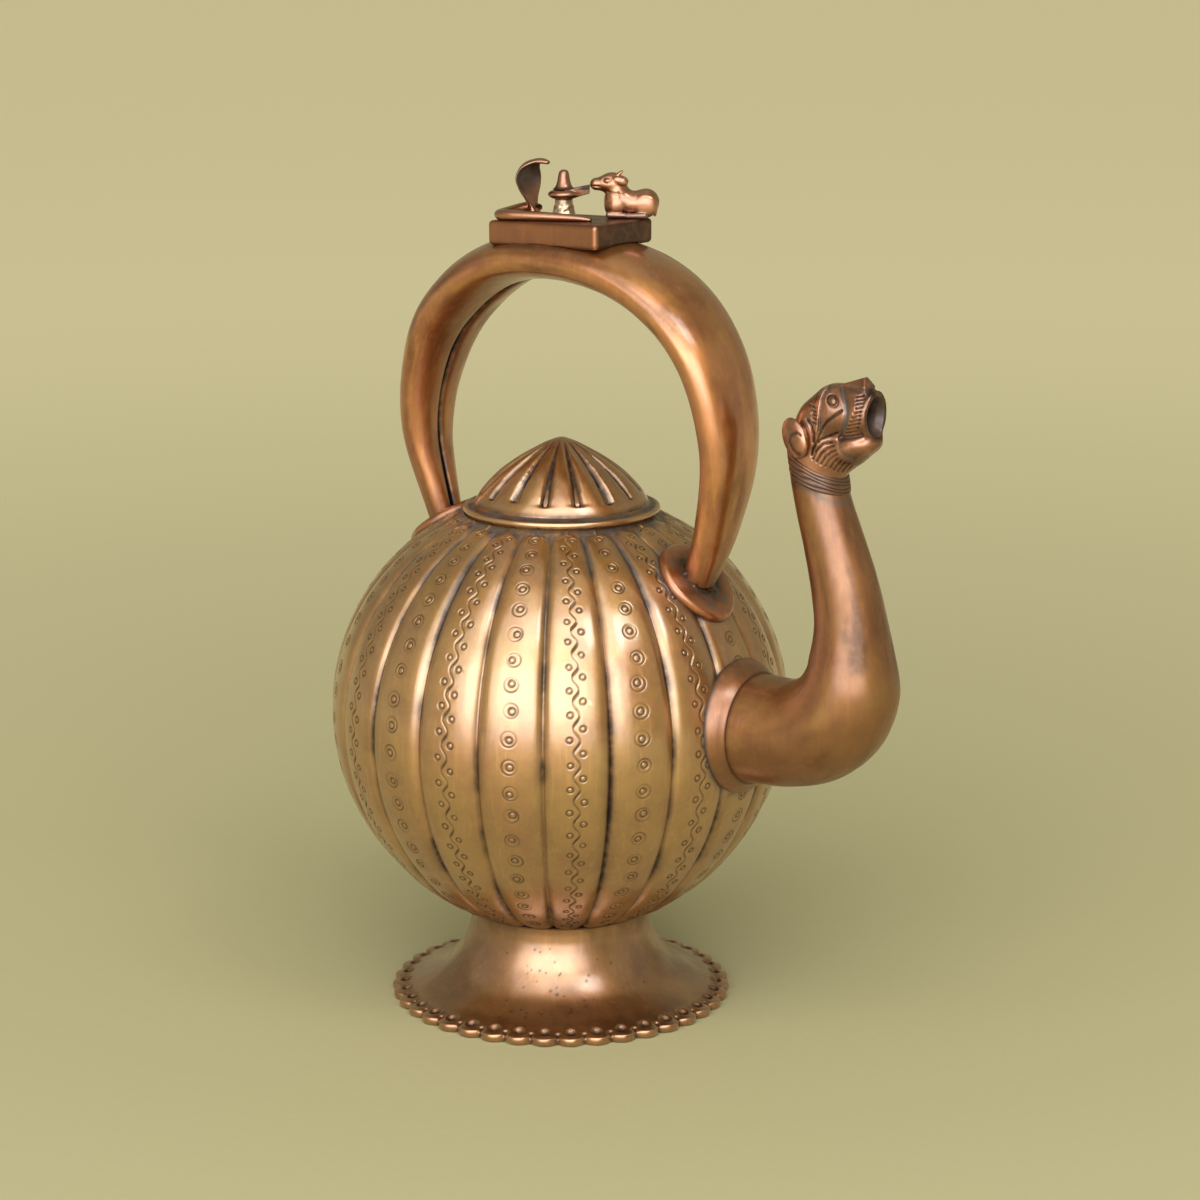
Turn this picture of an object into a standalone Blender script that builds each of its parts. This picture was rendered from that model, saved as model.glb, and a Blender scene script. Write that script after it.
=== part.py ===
"""Gangajali: lidded water vessel with a gadrooned bulb, a scalloped foot, an
elbow spout ending in a beast head, and an arched handle that carries a small
shrine (cobra, lingam on its disc, reclining bull). Metres, +Z up, +X spout."""
import bpy
import bmesh
import math
from mathutils import Vector, Matrix

# ------------------------------------------------------------------ dimensions
AXIS_X = -0.03026           # vessel axis, so that the box centre is the origin
GAP = 0.0003                # solder line between neighbouring pieces

# foot
FOOT_RIM_R = 0.0651
FOOT_SCALLOP = 0.0019
FOOT_SCALLOPS = 39
FOOT_RIM_T = 0.0026
NECK_R = 0.0345
NECK_TOP = 0.0359

# bulb: (height, radius over the lobes)
LOBES = 22
LOBE_DEPTH = 0.0017
WALL = 0.0020
SEAM_Z = 0.0880
MOUTH_R = 0.0366
MOUTH_Z = 0.1908
BULB = [(0.0362, 0.0366), (0.0400, 0.0449), (0.0500, 0.0583), (0.0600, 0.0676),
        (0.0700, 0.0747), (0.0800, 0.0800), (0.0900, 0.0838), (0.1000, 0.0862),
        (0.1100, 0.0874), (0.1200, 0.0873), (0.1300, 0.0859), (0.1400, 0.0832),
        (0.1500, 0.0791), (0.1600, 0.0734), (0.1700, 0.0656), (0.1800, 0.0548),
        (0.1908, 0.0366)]

# neck and lid
NECK_BORE = 0.0332
NECK_OUT = 0.0357
NECK_LOW = 0.1825
NECK_HIGH = 0.1910
BRIM_R = 0.0376
BRIM_LOW = 0.1913
BRIM_T = 0.0024
DOME_R = 0.0329
DOME_LOW = 0.1940
DOME_TOP = 0.2189
DOME_WALL = 0.0016
FLUTES = 15
SLEEVE_OUT = 0.0328
SLEEVE_T = 0.0015
SLEEVE_LOW = 0.1795

# spout
SPOUT_WALL = 0.0016
SPOUT_Z = 0.1192
SPOUT_TILT = math.radians(3.0)
COLLAR_R = 0.0242
ELBOW = (0.1056, 0.1545)    # centre that the elbow turns about
BAND_R = 0.0112

# handle
PLATE_R = 0.0165
PLATE_T = 0.0033
HANDLE_WALL = 0.0014
SLIT = math.radians(3.0)

# plinth
PLINTH = (0.0490, 0.0360)
PLINTH_X = 0.0057
PLINTH_LOW = 0.2927
PLINTH_TOP = 0.3018

# ------------------------------------------------------------------ scene
for o in list(bpy.data.objects):
    bpy.data.objects.remove(o, do_unlink=True)

part_coll = bpy.data.collections.new("gangajali")
cut_coll = bpy.data.collections.new("cutters")
bpy.context.scene.collection.children.link(part_coll)
bpy.context.scene.collection.children.link(cut_coll)


def material(name, colour, rough, metal=1.0):
    m = bpy.data.materials.new(name)
    m.use_nodes = True
    b = m.node_tree.nodes["Principled BSDF"]
    b.inputs["Base Color"].default_value = (*colour, 1.0)
    b.inputs["Roughness"].default_value = rough
    b.inputs["Metallic"].default_value = metal
    m.diffuse_color = (*colour, 1.0)
    return m


BRASS = (0.46, 0.29, 0.10)
COPPER = (0.40, 0.20, 0.09)
DARK = (0.20, 0.12, 0.09)
SOLDER = (0.52, 0.48, 0.42)


# ------------------------------------------------------------------ helpers
def update():
    bpy.context.view_layer.update()


def add(name, mesh, coll=None):
    o = bpy.data.objects.new(name, mesh)
    (coll or part_coll).objects.link(o)
    return o


def bake(o):
    """Replace an object's data by its evaluated mesh, with modifiers applied."""
    update()
    dg = bpy.context.evaluated_depsgraph_get()
    me = bpy.data.meshes.new_from_object(o.evaluated_get(dg))
    n = add(o.name + "_baked", me, o.users_collection[0])
    n.matrix_world = o.matrix_world.copy()
    name = o.name
    bpy.data.objects.remove(o, do_unlink=True)
    n.name = name
    me.name = name
    return n


def tidy(o, dist=1e-6):
    bm = bmesh.new()
    bm.from_mesh(o.data)
    bmesh.ops.remove_doubles(bm, verts=bm.verts, dist=dist)
    bmesh.ops.dissolve_degenerate(bm, edges=bm.edges, dist=dist)
    bmesh.ops.recalc_face_normals(bm, faces=bm.faces)
    bm.to_mesh(o.data)
    bm.free()
    return o


def freeze(o):
    """Move an object's placement into its mesh."""
    update()
    o.data.transform(o.matrix_world)
    o.matrix_world = Matrix.Identity(4)
    return o


def turned(name, profile, steps, closed=True, coll=None, phase=0.0):
    """Turn a profile of (radius, height) about Z with a Screw modifier."""
    me = bpy.data.meshes.new(name)
    vs = [(r * math.cos(phase), r * math.sin(phase), z) for r, z in profile]
    n = len(vs)
    es = [(i, i + 1) for i in range(n - 1)] + ([(n - 1, 0)] if closed else [])
    me.from_pydata(vs, es, [])
    o = add(name, me, coll)
    s = o.modifiers.new("turn", 'SCREW')
    s.angle = math.tau
    s.steps = steps
    s.render_steps = steps
    s.screw_offset = 0.0
    s.use_merge_vertices = True
    s.merge_threshold = 1e-5
    s.use_normal_calculate = True
    return tidy(bake(o), 2e-6)


def loft(name, rings, coll=None):
    """Skin closed rings of equal length; both ends are capped."""
    bm = bmesh.new()
    vr = [[bm.verts.new(p) for p in r] for r in rings]
    k = len(vr[0])
    for a, b in zip(vr[:-1], vr[1:]):
        for i in range(k):
            j = (i + 1) % k
            bm.faces.new((a[i], a[j], b[j], b[i]))
    bm.faces.new(list(reversed(vr[0])))
    bm.faces.new(vr[-1])
    bmesh.ops.recalc_face_normals(bm, faces=bm.faces)
    me = bpy.data.meshes.new(name)
    bm.to_mesh(me)
    bm.free()
    return add(name, me, coll)


def pipe(name, outer, inner, coll=None):
    """Skin an outer and an inner row of rings into one open-ended pipe."""
    bm = bmesh.new()
    vo = [[bm.verts.new(p) for p in r] for r in outer]
    vi = [[bm.verts.new(p) for p in r] for r in inner]
    k = len(vo[0])
    for row, flip in ((vo, False), (vi, True)):
        for a, b in zip(row[:-1], row[1:]):
            for i in range(k):
                j = (i + 1) % k
                f = (a[i], a[j], b[j], b[i])
                bm.faces.new(tuple(reversed(f)) if flip else f)
    for a, b, flip in ((vo[0], vi[0], True), (vo[-1], vi[-1], False)):
        for i in range(k):
            j = (i + 1) % k
            f = (a[i], a[j], b[j], b[i])
            bm.faces.new(tuple(reversed(f)) if flip else f)
    bmesh.ops.recalc_face_normals(bm, faces=bm.faces)
    me = bpy.data.meshes.new(name)
    bm.to_mesh(me)
    bm.free()
    return add(name, me, coll)


def ball(name, centre, radii, rot=None, u=12, v=8, coll=None):
    bm = bmesh.new()
    bmesh.ops.create_uvsphere(bm, u_segments=u, v_segments=v, radius=1.0)
    me = bpy.data.meshes.new(name)
    bm.to_mesh(me)
    bm.free()
    m = Matrix.Diagonal((*radii, 1.0))
    if rot is not None:
        m = rot.to_4x4() @ m
    me.transform(Matrix.Translation(centre) @ m)
    return add(name, me, coll)


def cylinder(name, a, b, r, steps, coll=None):
    a, b = Vector(a), Vector(b)
    d = b - a
    o = turned(name, [(0.0, d.length), (r, d.length), (r, 0.0), (0.0, 0.0)], steps, False, coll)
    o.matrix_world = Matrix.Translation(a) @ d.to_track_quat('Z', 'Y').to_matrix().to_4x4()
    return freeze(o)


def boolean(o, other, op, keep=False):
    other.hide_render = True
    other.display_type = 'WIRE'
    b = o.modifiers.new("cut", 'BOOLEAN')
    b.operation = op
    b.solver = 'EXACT'
    b.object = other
    n = bake(o)
    if not keep:
        bpy.data.objects.remove(other, do_unlink=True)
    return tidy(n)


def along(points, u):
    """Catmull-Rom value of a row of number tuples at u in 0..1."""
    n = len(points) - 1
    t = min(max(u, 0.0), 1.0) * n
    i = min(int(t), n - 1)
    t -= i
    p1, p2 = points[i], points[i + 1]
    p0 = points[i - 1] if i > 0 else tuple(2 * a - b for a, b in zip(p1, p2))
    p3 = points[i + 2] if i + 2 <= n else tuple(2 * b - a for a, b in zip(p1, p2))
    return tuple(0.5 * (2 * b + (c - a) * t + (2 * a - 5 * b + 4 * c - d) * t * t
                        + (3 * b - a - 3 * c + d) * t ** 3)
                 for a, b, c, d in zip(p0, p1, p2, p3))


def bulb_r(z):
    for i in range(len(BULB) - 1):
        if z <= BULB[i + 1][0] or i == len(BULB) - 2:
            (z1, r1), (z2, r2) = BULB[i], BULB[i + 1]
            r0 = BULB[i - 1] if i > 0 else (2 * z1 - z2, 2 * r1 - r2)
            r3 = BULB[i + 2] if i + 2 < len(BULB) else (2 * z2 - z1, 2 * r2 - r1)
            m1 = (r2 - r0[1]) / (z2 - r0[0])
            m2 = (r3[1] - r1) / (r3[0] - z1)
            h = z2 - z1
            t = (z - z1) / h
            return ((2 * t ** 3 - 3 * t * t + 1) * r1 + (t ** 3 - 2 * t * t + t) * h * m1
                    + (3 * t * t - 2 * t ** 3) * r2 + (t ** 3 - t * t) * h * m2)
    return BULB[-1][1]


def bulb_normal(z):
    s = (bulb_r(z + 0.0005) - bulb_r(z - 0.0005)) / 0.001
    return Vector((1.0, -s)).normalized()


def bulb_solid(name, offset, coll):
    """The bulb's smooth outline grown by an offset, as a cutting tool."""
    pts = []
    for i in range(33):
        z = 0.036 + (MOUTH_Z - 0.036) * i / 32
        n = bulb_normal(min(max(z, 0.0365), MOUTH_Z - 0.001))
        pts.append((bulb_r(z) + offset * n[0], z + offset * n[1]))
    prof = [(0.0, pts[-1][1])] + pts[::-1] + [(0.0, pts[0][1])]
    return turned(name, prof, 88, False, coll)


def lobe_push(o, depth):
    """Press the valleys between the lobes into a turned bulb."""
    for v in o.data.vertices:
        r = math.hypot(v.co.x, v.co.y)
        if r < 0.02:
            continue
        a = math.atan2(v.co.y, v.co.x) * LOBES / math.tau
        g = abs((a % 1.0) - 0.5) * 2.0          # 1 on the lobe, 0 in the valley
        fade = min(1.0, (MOUTH_Z + 0.004 - v.co.z) / 0.02, (v.co.z - 0.030) / 0.012)
        k = 1.0 - depth * max(0.0, 1.0 - g / 0.6) * fade / r
        v.co.x *= k
        v.co.y *= k


def finish(o, mat, smooth=35.0):
    o.data.materials.clear()
    o.data.materials.append(mat)
    for p in o.data.polygons:
        p.use_smooth = True
    o.data.set_sharp_from_angle(angle=math.radians(smooth))
    return o


# ------------------------------------------------------------------ foot
foot = turned("foot", [
    (NECK_R, NECK_TOP), (0.0348, 0.0300), (0.0362, 0.0245), (0.0395, 0.0178),
    (0.0455, 0.0110), (0.0545, 0.0058), (0.0602, 0.0036), (FOOT_RIM_R, FOOT_RIM_T),
    (FOOT_RIM_R, 0.0), (0.0600, 0.0), (0.0535, 0.0033), (0.0442, 0.0088),
    (0.0378, 0.0155), (0.0342, 0.0235), (0.0326, NECK_TOP)], FOOT_SCALLOPS * 2)
for v in foot.data.vertices:
    r = math.hypot(v.co.x, v.co.y)
    if r > FOOT_RIM_R - 0.001:
        a = math.atan2(v.co.y, v.co.x) * FOOT_SCALLOPS / math.tau
        k = 1.0 - FOOT_SCALLOP * (0.5 - 0.5 * math.cos(a * math.tau)) / r
        v.co.x *= k
        v.co.y *= k
finish(foot, material("foot_brass", COPPER, 0.33))

# ------------------------------------------------------------------ bulb
PHASE = math.tau / LOBES / 2.0


def shell_profile(zs, bottom):
    outer = [(bulb_r(z), z) for z in zs]
    inner = []
    for z in zs:
        n = bulb_normal(z)
        inner.append((bulb_r(z) - WALL * n[0], z - WALL * n[1]))
    return outer, inner


low_z = [SEAM_Z - GAP, 0.0760, 0.0640, 0.0530, 0.0430, BULB[0][0]]
o_pts, i_pts = shell_profile(low_z, True)
floor_z = BULB[0][0] + WALL
i_pts = [(r, z) for r, z in i_pts if z > floor_z + 0.001]
i_pts[0] = (bulb_r(low_z[0]) - WALL * 1.08, low_z[0])
prof = o_pts + [(0.0, BULB[0][0])]
prof_in = [(0.0, floor_z), (0.0365, floor_z)] + i_pts[::-1]
bowl_lower = turned("bowl_lower", prof + prof_in, LOBES * 3, True, None, PHASE)
lobe_push(bowl_lower, LOBE_DEPTH)
finish(bowl_lower, material("bowl_lower_brass", BRASS, 0.34))

up_z = [MOUTH_Z, 0.1845, 0.1735, 0.1580, 0.1390, 0.1170, 0.1020, SEAM_Z]
o_pts, i_pts = shell_profile(up_z, False)
i_pts[0] = (MOUTH_R, MOUTH_Z - 0.0022)
i_pts[-1] = (bulb_r(SEAM_Z) - WALL * 1.08, SEAM_Z)
bowl_upper = turned("bowl_upper", o_pts + i_pts[::-1], LOBES * 3, True, None, PHASE)
lobe_push(bowl_upper, LOBE_DEPTH)
hole = cylinder("spout_hole", (0.060, 0.0, SPOUT_Z), (0.110, 0.0, SPOUT_Z), 0.0160, 24, cut_coll)
bowl_upper = boolean(bowl_upper, hole, 'DIFFERENCE')
finish(bowl_upper, material("bowl_upper_brass", BRASS, 0.34))

# ------------------------------------------------------------------ neck ring
mouth_collar = turned("mouth_collar", [
    (NECK_OUT, NECK_HIGH), (NECK_OUT, NECK_LOW), (NECK_BORE, NECK_LOW),
    (NECK_BORE, NECK_HIGH)], 40)
finish(mouth_collar, material("collar_brass", DARK, 0.45))

# ------------------------------------------------------------------ lid
b0, b1 = BRIM_LOW, BRIM_LOW + BRIM_T
lid_brim = turned("lid_brim", [
    (0.0330, b1), (0.0352, b1), (0.0370, b1 - 0.0003), (BRIM_R, b1 - 0.0012),
    (0.0370, b0 + 0.0003), (0.0358, b0), (0.0297, b0), (0.0297, b1)], 40)
finish(lid_brim, material("lid_brim_brass", BRASS, 0.30))

dome = [(0.0000, DOME_TOP), (0.0042, 0.2177), (0.0079, 0.2160), (0.0158, 0.2116),
        (0.0227, 0.2067), (0.0276, 0.2020), (0.0309, 0.1980), (DOME_R, DOME_LOW)]
dome_in = [(r * (1.0 - DOME_WALL / DOME_R) - (0.0003 if r > 0.02 else 0.0), z - DOME_WALL * (1.0 if z > 0.2 else 0.3))
           for r, z in dome[1:-1]]
dome_in = [(0.0, DOME_TOP - DOME_WALL * 1.25)] + dome_in + [(0.0302, DOME_LOW)]
lid_dome = turned("lid_dome", dome + dome_in[::-1], FLUTES * 2)
for v in lid_dome.data.vertices:
    r = math.hypot(v.co.x, v.co.y)
    if 0.006 < r and 0.1955 < v.co.z:
        a = math.atan2(v.co.y, v.co.x) * FLUTES / math.tau
        k = 1.0 - 0.0008 * (0.5 - 0.5 * math.cos(a * math.tau)) / r
        v.co.x *= k
        v.co.y *= k
finish(lid_dome, material("lid_dome_brass", COPPER, 0.34), 28.0)

lid_sleeve = turned("lid_sleeve", [
    (SLEEVE_OUT, BRIM_LOW - GAP), (SLEEVE_OUT, SLEEVE_LOW),
    (SLEEVE_OUT - SLEEVE_T, SLEEVE_LOW), (SLEEVE_OUT - SLEEVE_T, BRIM_LOW - GAP)], 40)
finish(lid_sleeve, material("lid_sleeve_brass", BRASS, 0.40))

# ------------------------------------------------------------------ spout
skin = bulb_solid("bulb_skin", GAP, cut_coll)
c_len = 0.0150
spout_collar = turned("spout_collar", [
    (0.0212, c_len), (0.0222, c_len - 0.0010), (0.0234, c_len - 0.0040),
    (COLLAR_R, c_len - 0.0080), (COLLAR_R, 0.0), (0.0207, 0.0), (0.0207, c_len)], 28)
spout_collar.matrix_world = (Matrix.Translation((0.0762, 0.0, SPOUT_Z - 0.0001))
                             @ Matrix.Rotation(math.pi / 2 - SPOUT_TILT, 4, 'Y'))
freeze(spout_collar)
spout_collar = boolean(spout_collar, skin, 'DIFFERENCE', keep=True)
finish(spout_collar, material("spout_collar_brass", COPPER, 0.32))


def ring_at(x, z, tangent, a, b, count, roll=0.0):
    """Oval ring in the XZ symmetry plane: a in the plane, b across it."""
    n = Vector((-math.sin(tangent), 0.0, math.cos(tangent)))
    s = Vector((0.0, 1.0, 0.0))
    c = Vector((x, 0.0, z))
    return [c + n * (a * math.cos(t)) + s * (b * math.sin(t))
            for t in (math.tau * (i + roll) / count for i in range(count))]


# centre x, centre z, tangent angle in degrees, radius
spout_rows = [(0.0884, 0.1197, 3.0, 0.0203), (0.0960, 0.1202, 3.0, 0.0201)]
for deg, near, rad in ((-90, 0.0140, 0.0199), (-68, 0.0126, 0.0197), (-46, 0.0114, 0.0192),
                       (-23, 0.0105, 0.0176), (0, 0.0100, 0.0151)):
    a = math.radians(deg)
    d = near + rad
    spout_rows.append((ELBOW[0] + d * math.cos(a), ELBOW[1] + d * math.sin(a), deg + 92.0, rad))
spout_rows += [(0.1299, 0.1655, 97.0, 0.0131), (0.1273, 0.1775, 105.0, 0.0121),
               (0.1231, 0.1912, 108.0, 0.0111), (0.1187, 0.2040, 109.0, 0.0103),
               (0.1150, 0.2155, 107.0, 0.0097)]
outer = [ring_at(x, z, math.radians(t), r, r, 20) for x, z, t, r in spout_rows]
inner = [ring_at(x, z, math.radians(t), r - SPOUT_WALL, r - SPOUT_WALL, 20) for x, z, t, r in spout_rows]
spout_tube = pipe("spout_tube", outer, inner)
finish(spout_tube, material("spout_tube_brass", COPPER, 0.30), 50.0)

ribs = []
for i in range(9):
    ribs.append((BAND_R - (0.0005 if i % 2 else 0.0), 0.0036 - 0.0009 * i))
spout_band = turned("spout_band", [(0.0102, 0.0038)] + ribs + [(0.0102, -0.0038)], 24)
spout_band.matrix_world = (Matrix.Translation((0.1150, 0.0, 0.2155))
                           @ Matrix.Rotation(math.radians(-17.0), 4, 'Y'))
freeze(spout_band)
finish(spout_band, material("spout_band_brass", COPPER, 0.36))

head_rows = [(0.1149, 0.2158, 107.0, 0.0095, 0.0095), (0.1137, 0.2200, 104.0, 0.0096, 0.0096),
             (0.1130, 0.2240, 90.0, 0.0110, 0.0112),
             (0.1143, 0.2288, 72.0, 0.0117, 0.0120), (0.1187, 0.2356, 43.0, 0.0127, 0.0123),
             (0.1258, 0.2399, 22.0, 0.0127, 0.0115), (0.1330, 0.2420, 12.0, 0.0114, 0.0100),
             (0.1393, 0.2433, 10.0, 0.0097, 0.0080)]
bore = [0.0078, 0.0078, 0.0078, 0.0080, 0.0080, 0.0078, 0.0076, 0.0078]
outer = [ring_at(x, z, math.radians(t), a, b, 20) for x, z, t, a, b in head_rows]
inner = [ring_at(x, z, math.radians(t), h, h * (0.80 if i == 7 else 0.9 if i == 6 else 1.0), 20)
         for i, ((x, z, t, a, b), h) in enumerate(zip(head_rows, bore))]
spout_head = pipe("spout_head", outer, inner)
for side in (-1, 1):
    ear = ball("ear", (0.1120, side * 0.0118, 0.2318), (0.0058, 0.0021, 0.0042),
               Matrix.Rotation(math.radians(-35), 3, 'Y'), 10, 6, cut_coll)
    spout_head = boolean(spout_head, ear, 'UNION')
finish(spout_head, material("spout_head_brass", COPPER, 0.34), 45.0)

# ------------------------------------------------------------------ handle
# centre x, centre z, half width across, half thickness; front foot to rear foot
handle_pts = [(0.0628, 0.1694, 0.0062, 0.0060), (0.0723, 0.1941, 0.0110, 0.0070),
              (0.0769, 0.2243, 0.0153, 0.0081), (0.0684, 0.2556, 0.0185, 0.0089),
              (0.0469, 0.2773, 0.0210, 0.0094), (0.0145, 0.2873, 0.0224, 0.0095),
              (-0.0207, 0.2843, 0.0224, 0.0095), (-0.0474, 0.2657, 0.0206, 0.0094),
              (-0.0600, 0.2432, 0.0166, 0.0084), (-0.0639, 0.2148, 0.0122, 0.0073),
              (-0.0545, 0.1790, 0.0064, 0.0060)]


def handle_frame(u):
    p = along(handle_pts, u)
    q = along(handle_pts, min(1.0, u + 0.004))
    m = along(handle_pts, max(0.0, u - 0.004))
    t = Vector((q[0] - m[0], 0.0, q[1] - m[1])).normalized()
    return Vector((p[0], 0.0, p[1])), Vector((t.z, 0.0, -t.x)), p[2], p[3]


def handle_ring(u, grow):
    c, n, w, h = handle_frame(u)
    return [c + n * ((h + grow) * math.cos(t)) + Vector((0, 1, 0)) * ((w + grow) * math.sin(t))
            for t in (math.tau * i / 18 for i in range(18))]


def handle_open_ring(u):
    """Rolled sheet: an oval wall left open by the seam on the inner side."""
    c, n, w, h = handle_frame(u)
    y = Vector((0, 1, 0))
    a0, a1, k = math.pi + SLIT, 3.0 * math.pi - SLIT, 14
    ts = [a0 + (a1 - a0) * i / (k - 1) for i in range(k)]
    out = [c + n * (h * math.cos(t)) + y * (w * math.sin(t)) for t in ts]
    inn = [c + n * ((h - HANDLE_WALL) * math.cos(t)) + y * ((w - HANDLE_WALL) * math.sin(t)) for t in ts]
    return out + inn[::-1]


# the frame's normal points outwards, away from the hand
handle_tube = loft("handle_tube", [handle_open_ring(i / 20) for i in range(21)])
plate_skin = bulb_solid("plate_skin", GAP + PLATE_T, cut_coll)
foot_skin = bulb_solid("foot_skin", 2 * GAP + PLATE_T, cut_coll)
handle_tube = boolean(handle_tube, foot_skin, 'DIFFERENCE')
finish(handle_tube, material("handle_brass", COPPER, 0.32), 40.0)

for label, x, z in (("front", 1.0, 0.1722), ("rear", -1.0, 0.1805)):
    n = bulb_normal(z)
    c = Vector((x * bulb_r(z), 0.0, z))
    d = Vector((x * n[0], 0.0, n[1]))
    plate = cylinder("handle_escutcheon_" + label, c - d * 0.012, c + d * 0.012, PLATE_R, 28)
    plate = boolean(plate, plate_skin, 'INTERSECT', keep=True)
    plate = boolean(plate, skin, 'DIFFERENCE', keep=True)
    finish(plate, material("escutcheon_" + label + "_brass", COPPER, 0.34))
bpy.data.objects.remove(plate_skin, do_unlink=True)
bpy.data.objects.remove(skin, do_unlink=True)

# ------------------------------------------------------------------ plinth
bm = bmesh.new()
bmesh.ops.create_cube(bm, size=1.0)
me = bpy.data.meshes.new("plinth")
bm.to_mesh(me)
bm.free()
me.transform(Matrix.Translation((PLINTH_X, 0.0, (PLINTH_LOW + PLINTH_TOP) / 2))
             @ Matrix.Diagonal((PLINTH[0], PLINTH[1], PLINTH_TOP - PLINTH_LOW, 1.0)))
plinth = add("plinth", me)
bv = plinth.modifiers.new("round", 'BEVEL')
bv.width = 0.0011
bv.segments = 2
bv.limit_method = 'ANGLE'
crown = loft("crown", [handle_ring(0.28 + 0.44 * i / 16, GAP) for i in range(17)], cut_coll)
plinth = bake(plinth)
plinth = boolean(plinth, crown, 'DIFFERENCE')
finish(plinth, material("plinth_brass", COPPER, 0.36))
TOP = PLINTH_TOP + GAP

# ------------------------------------------------------------------ cobra
# centre x, y and radius of the coil, lying on the plinth
coil_pts = [(-0.0098, 0.0004, 0.0021), (-0.0134, 0.0010, 0.0022), (-0.0160, -0.0022, 0.0022),
            (-0.0169, -0.0080, 0.0021), (-0.0164, -0.0128, 0.0020), (-0.0130, -0.0150, 0.0020),
            (-0.0050, -0.0148, 0.0018), (0.0050, -0.0138, 0.0016), (0.0140, -0.0122, 0.0012),
            (0.0205, -0.0104, 0.0005)]
cu = bpy.data.curves.new("naga", 'CURVE')
cu.dimensions = '3D'
cu.bevel_depth = 1.0
cu.bevel_resolution = 2
cu.use_fill_caps = True
sp = cu.splines.new('POLY')
sp.points.add(24)
for i, p in enumerate(sp.points):
    x, y, r = along(coil_pts, i / 24)
    p.co = (x, y, TOP + r, 1.0)
    p.radius = r
naga = tidy(bake(add("naga", cu)), 1e-5)

# centre x, centre z, half width, hollow of the hood, lean of the section
hood_pts = [(-0.0098, 0.0018, 0.0019, 0.0002, 0.0016), (-0.0108, 0.0057, 0.0026, 0.0006, 0.0012),
            (-0.0128, 0.0100, 0.0058, 0.0018, 0.0009), (-0.0136, 0.0140, 0.0070, 0.0022, 0.0009),
            (-0.0118, 0.0178, 0.0050, 0.0014, 0.0009), (-0.0078, 0.0194, 0.0026, 0.0004, 0.0009),
            (-0.0036, 0.0193, 0.0011, 0.0000, 0.0007)]


def hood_ring(u):
    x, z, w, hollow, t = along(hood_pts, u)
    q, m = along(hood_pts, min(1.0, u + 0.01)), along(hood_pts, max(0.0, u - 0.01))
    tan = Vector((q[0] - m[0], 0.0, q[1] - m[1])).normalized()
    n = Vector((tan.z, 0.0, -tan.x))            # towards the lingam
    c = Vector((x, 0.0, TOP + z))
    ring = []
    for i in range(12):
        a = math.tau * i / 12
        s = math.sin(a)
        ring.append(c + Vector((0, 1, 0)) * (w * s) + n * (hollow * s * s - hollow * 0.5 + t * 0.8 * math.cos(a)))
    return ring


hood = loft("hood", [hood_ring(i / 12) for i in range(13)], cut_coll)
naga = boolean(naga, hood, 'UNION')
finish(naga, material("naga_brass", DARK, 0.38), 60.0)

# ------------------------------------------------------------------ lingam
LX = 0.0024
PED_H = 0.0061
DISC_H = 0.0042
yoni_pedestal = turned("yoni_pedestal", [
    (0.0, PED_H), (0.0034, PED_H), (0.0037, 0.0043), (0.0047, 0.0019), (0.0054, 0.0),
    (0.0, 0.0)], 18, False)
yoni_pedestal.location = (LX, 0.0, TOP)
freeze(yoni_pedestal)
finish(yoni_pedestal, material("pedestal_solder", SOLDER, 0.45))

yoni_disc = turned("yoni_disc", [
    (0.0, DISC_H), (0.0034, DISC_H), (0.0052, 0.0032), (0.0058, 0.0021), (0.0053, 0.0011),
    (0.0036, 0.0), (0.0, 0.0)], 20, False)
beak_dir = math.radians(34.0)
rings = []
for d, w, lo, hi in ((0.0020, 0.0034, 0.0012, 0.0035), (0.0052, 0.0027, 0.0015, 0.0037),
                     (0.0074, 0.0019, 0.0022, 0.0041), (0.0090, 0.0014, 0.0026, 0.0043)):
    rings.append([Vector((d, -w, lo)), Vector((d, w, lo)), Vector((d, w, hi)), Vector((d, -w, hi))])
beak = loft("beak", rings, cut_coll)
yoni_disc = boolean(yoni_disc, beak, 'UNION')
yoni_disc.matrix_world = (Matrix.Translation((LX, 0.0, TOP + PED_H + GAP))
                          @ Matrix.Rotation(beak_dir, 4, 'Z'))
freeze(yoni_disc)
finish(yoni_disc, material("yoni_brass", BRASS, 0.34))

lingam = turned("lingam", [
    (0.0, 0.0063), (0.0009, 0.0061), (0.0016, 0.0054), (0.0020, 0.0042), (0.0023, 0.0018),
    (0.0028, 0.0), (0.0, 0.0)], 16, False)
lingam.location = (LX, 0.0, TOP + PED_H + DISC_H + 2 * GAP)
freeze(lingam)
finish(lingam, material("lingam_brass", COPPER, 0.32), 50.0)

# ------------------------------------------------------------------ bull
# lying bull in its own frame: +X forwards, standing on z = 0
nandi = ball("nandi", (-0.0036, 0.0, 0.0056), (0.0092, 0.0050, 0.0056), None, 12, 8)
pieces = [((0.0040, 0.0, 0.0070), (0.0048, 0.0042, 0.0066), 0.0),
          ((0.0068, 0.0, 0.0112), (0.0034, 0.0028, 0.0046), 30.0),
          ((0.0100, 0.0, 0.0143), (0.0052, 0.0024, 0.0025), -12.0),
          ((-0.0078, 0.0, 0.0062), (0.0056, 0.0046, 0.0058), 0.0)]
for s in (-1, 1):
    pieces += [((0.0036, s * 0.0034, 0.0024), (0.0046, 0.0016, 0.0023), 0.0),
               ((-0.0070, s * 0.0036, 0.0032), (0.0052, 0.0018, 0.0031), 0.0),
               ((0.0072, s * 0.0021, 0.0153), (0.0024, 0.0012, 0.0013), 20.0),
               ((0.0070, s * 0.0010, 0.0166), (0.0011, 0.0008, 0.0022), 25.0)]
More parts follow.
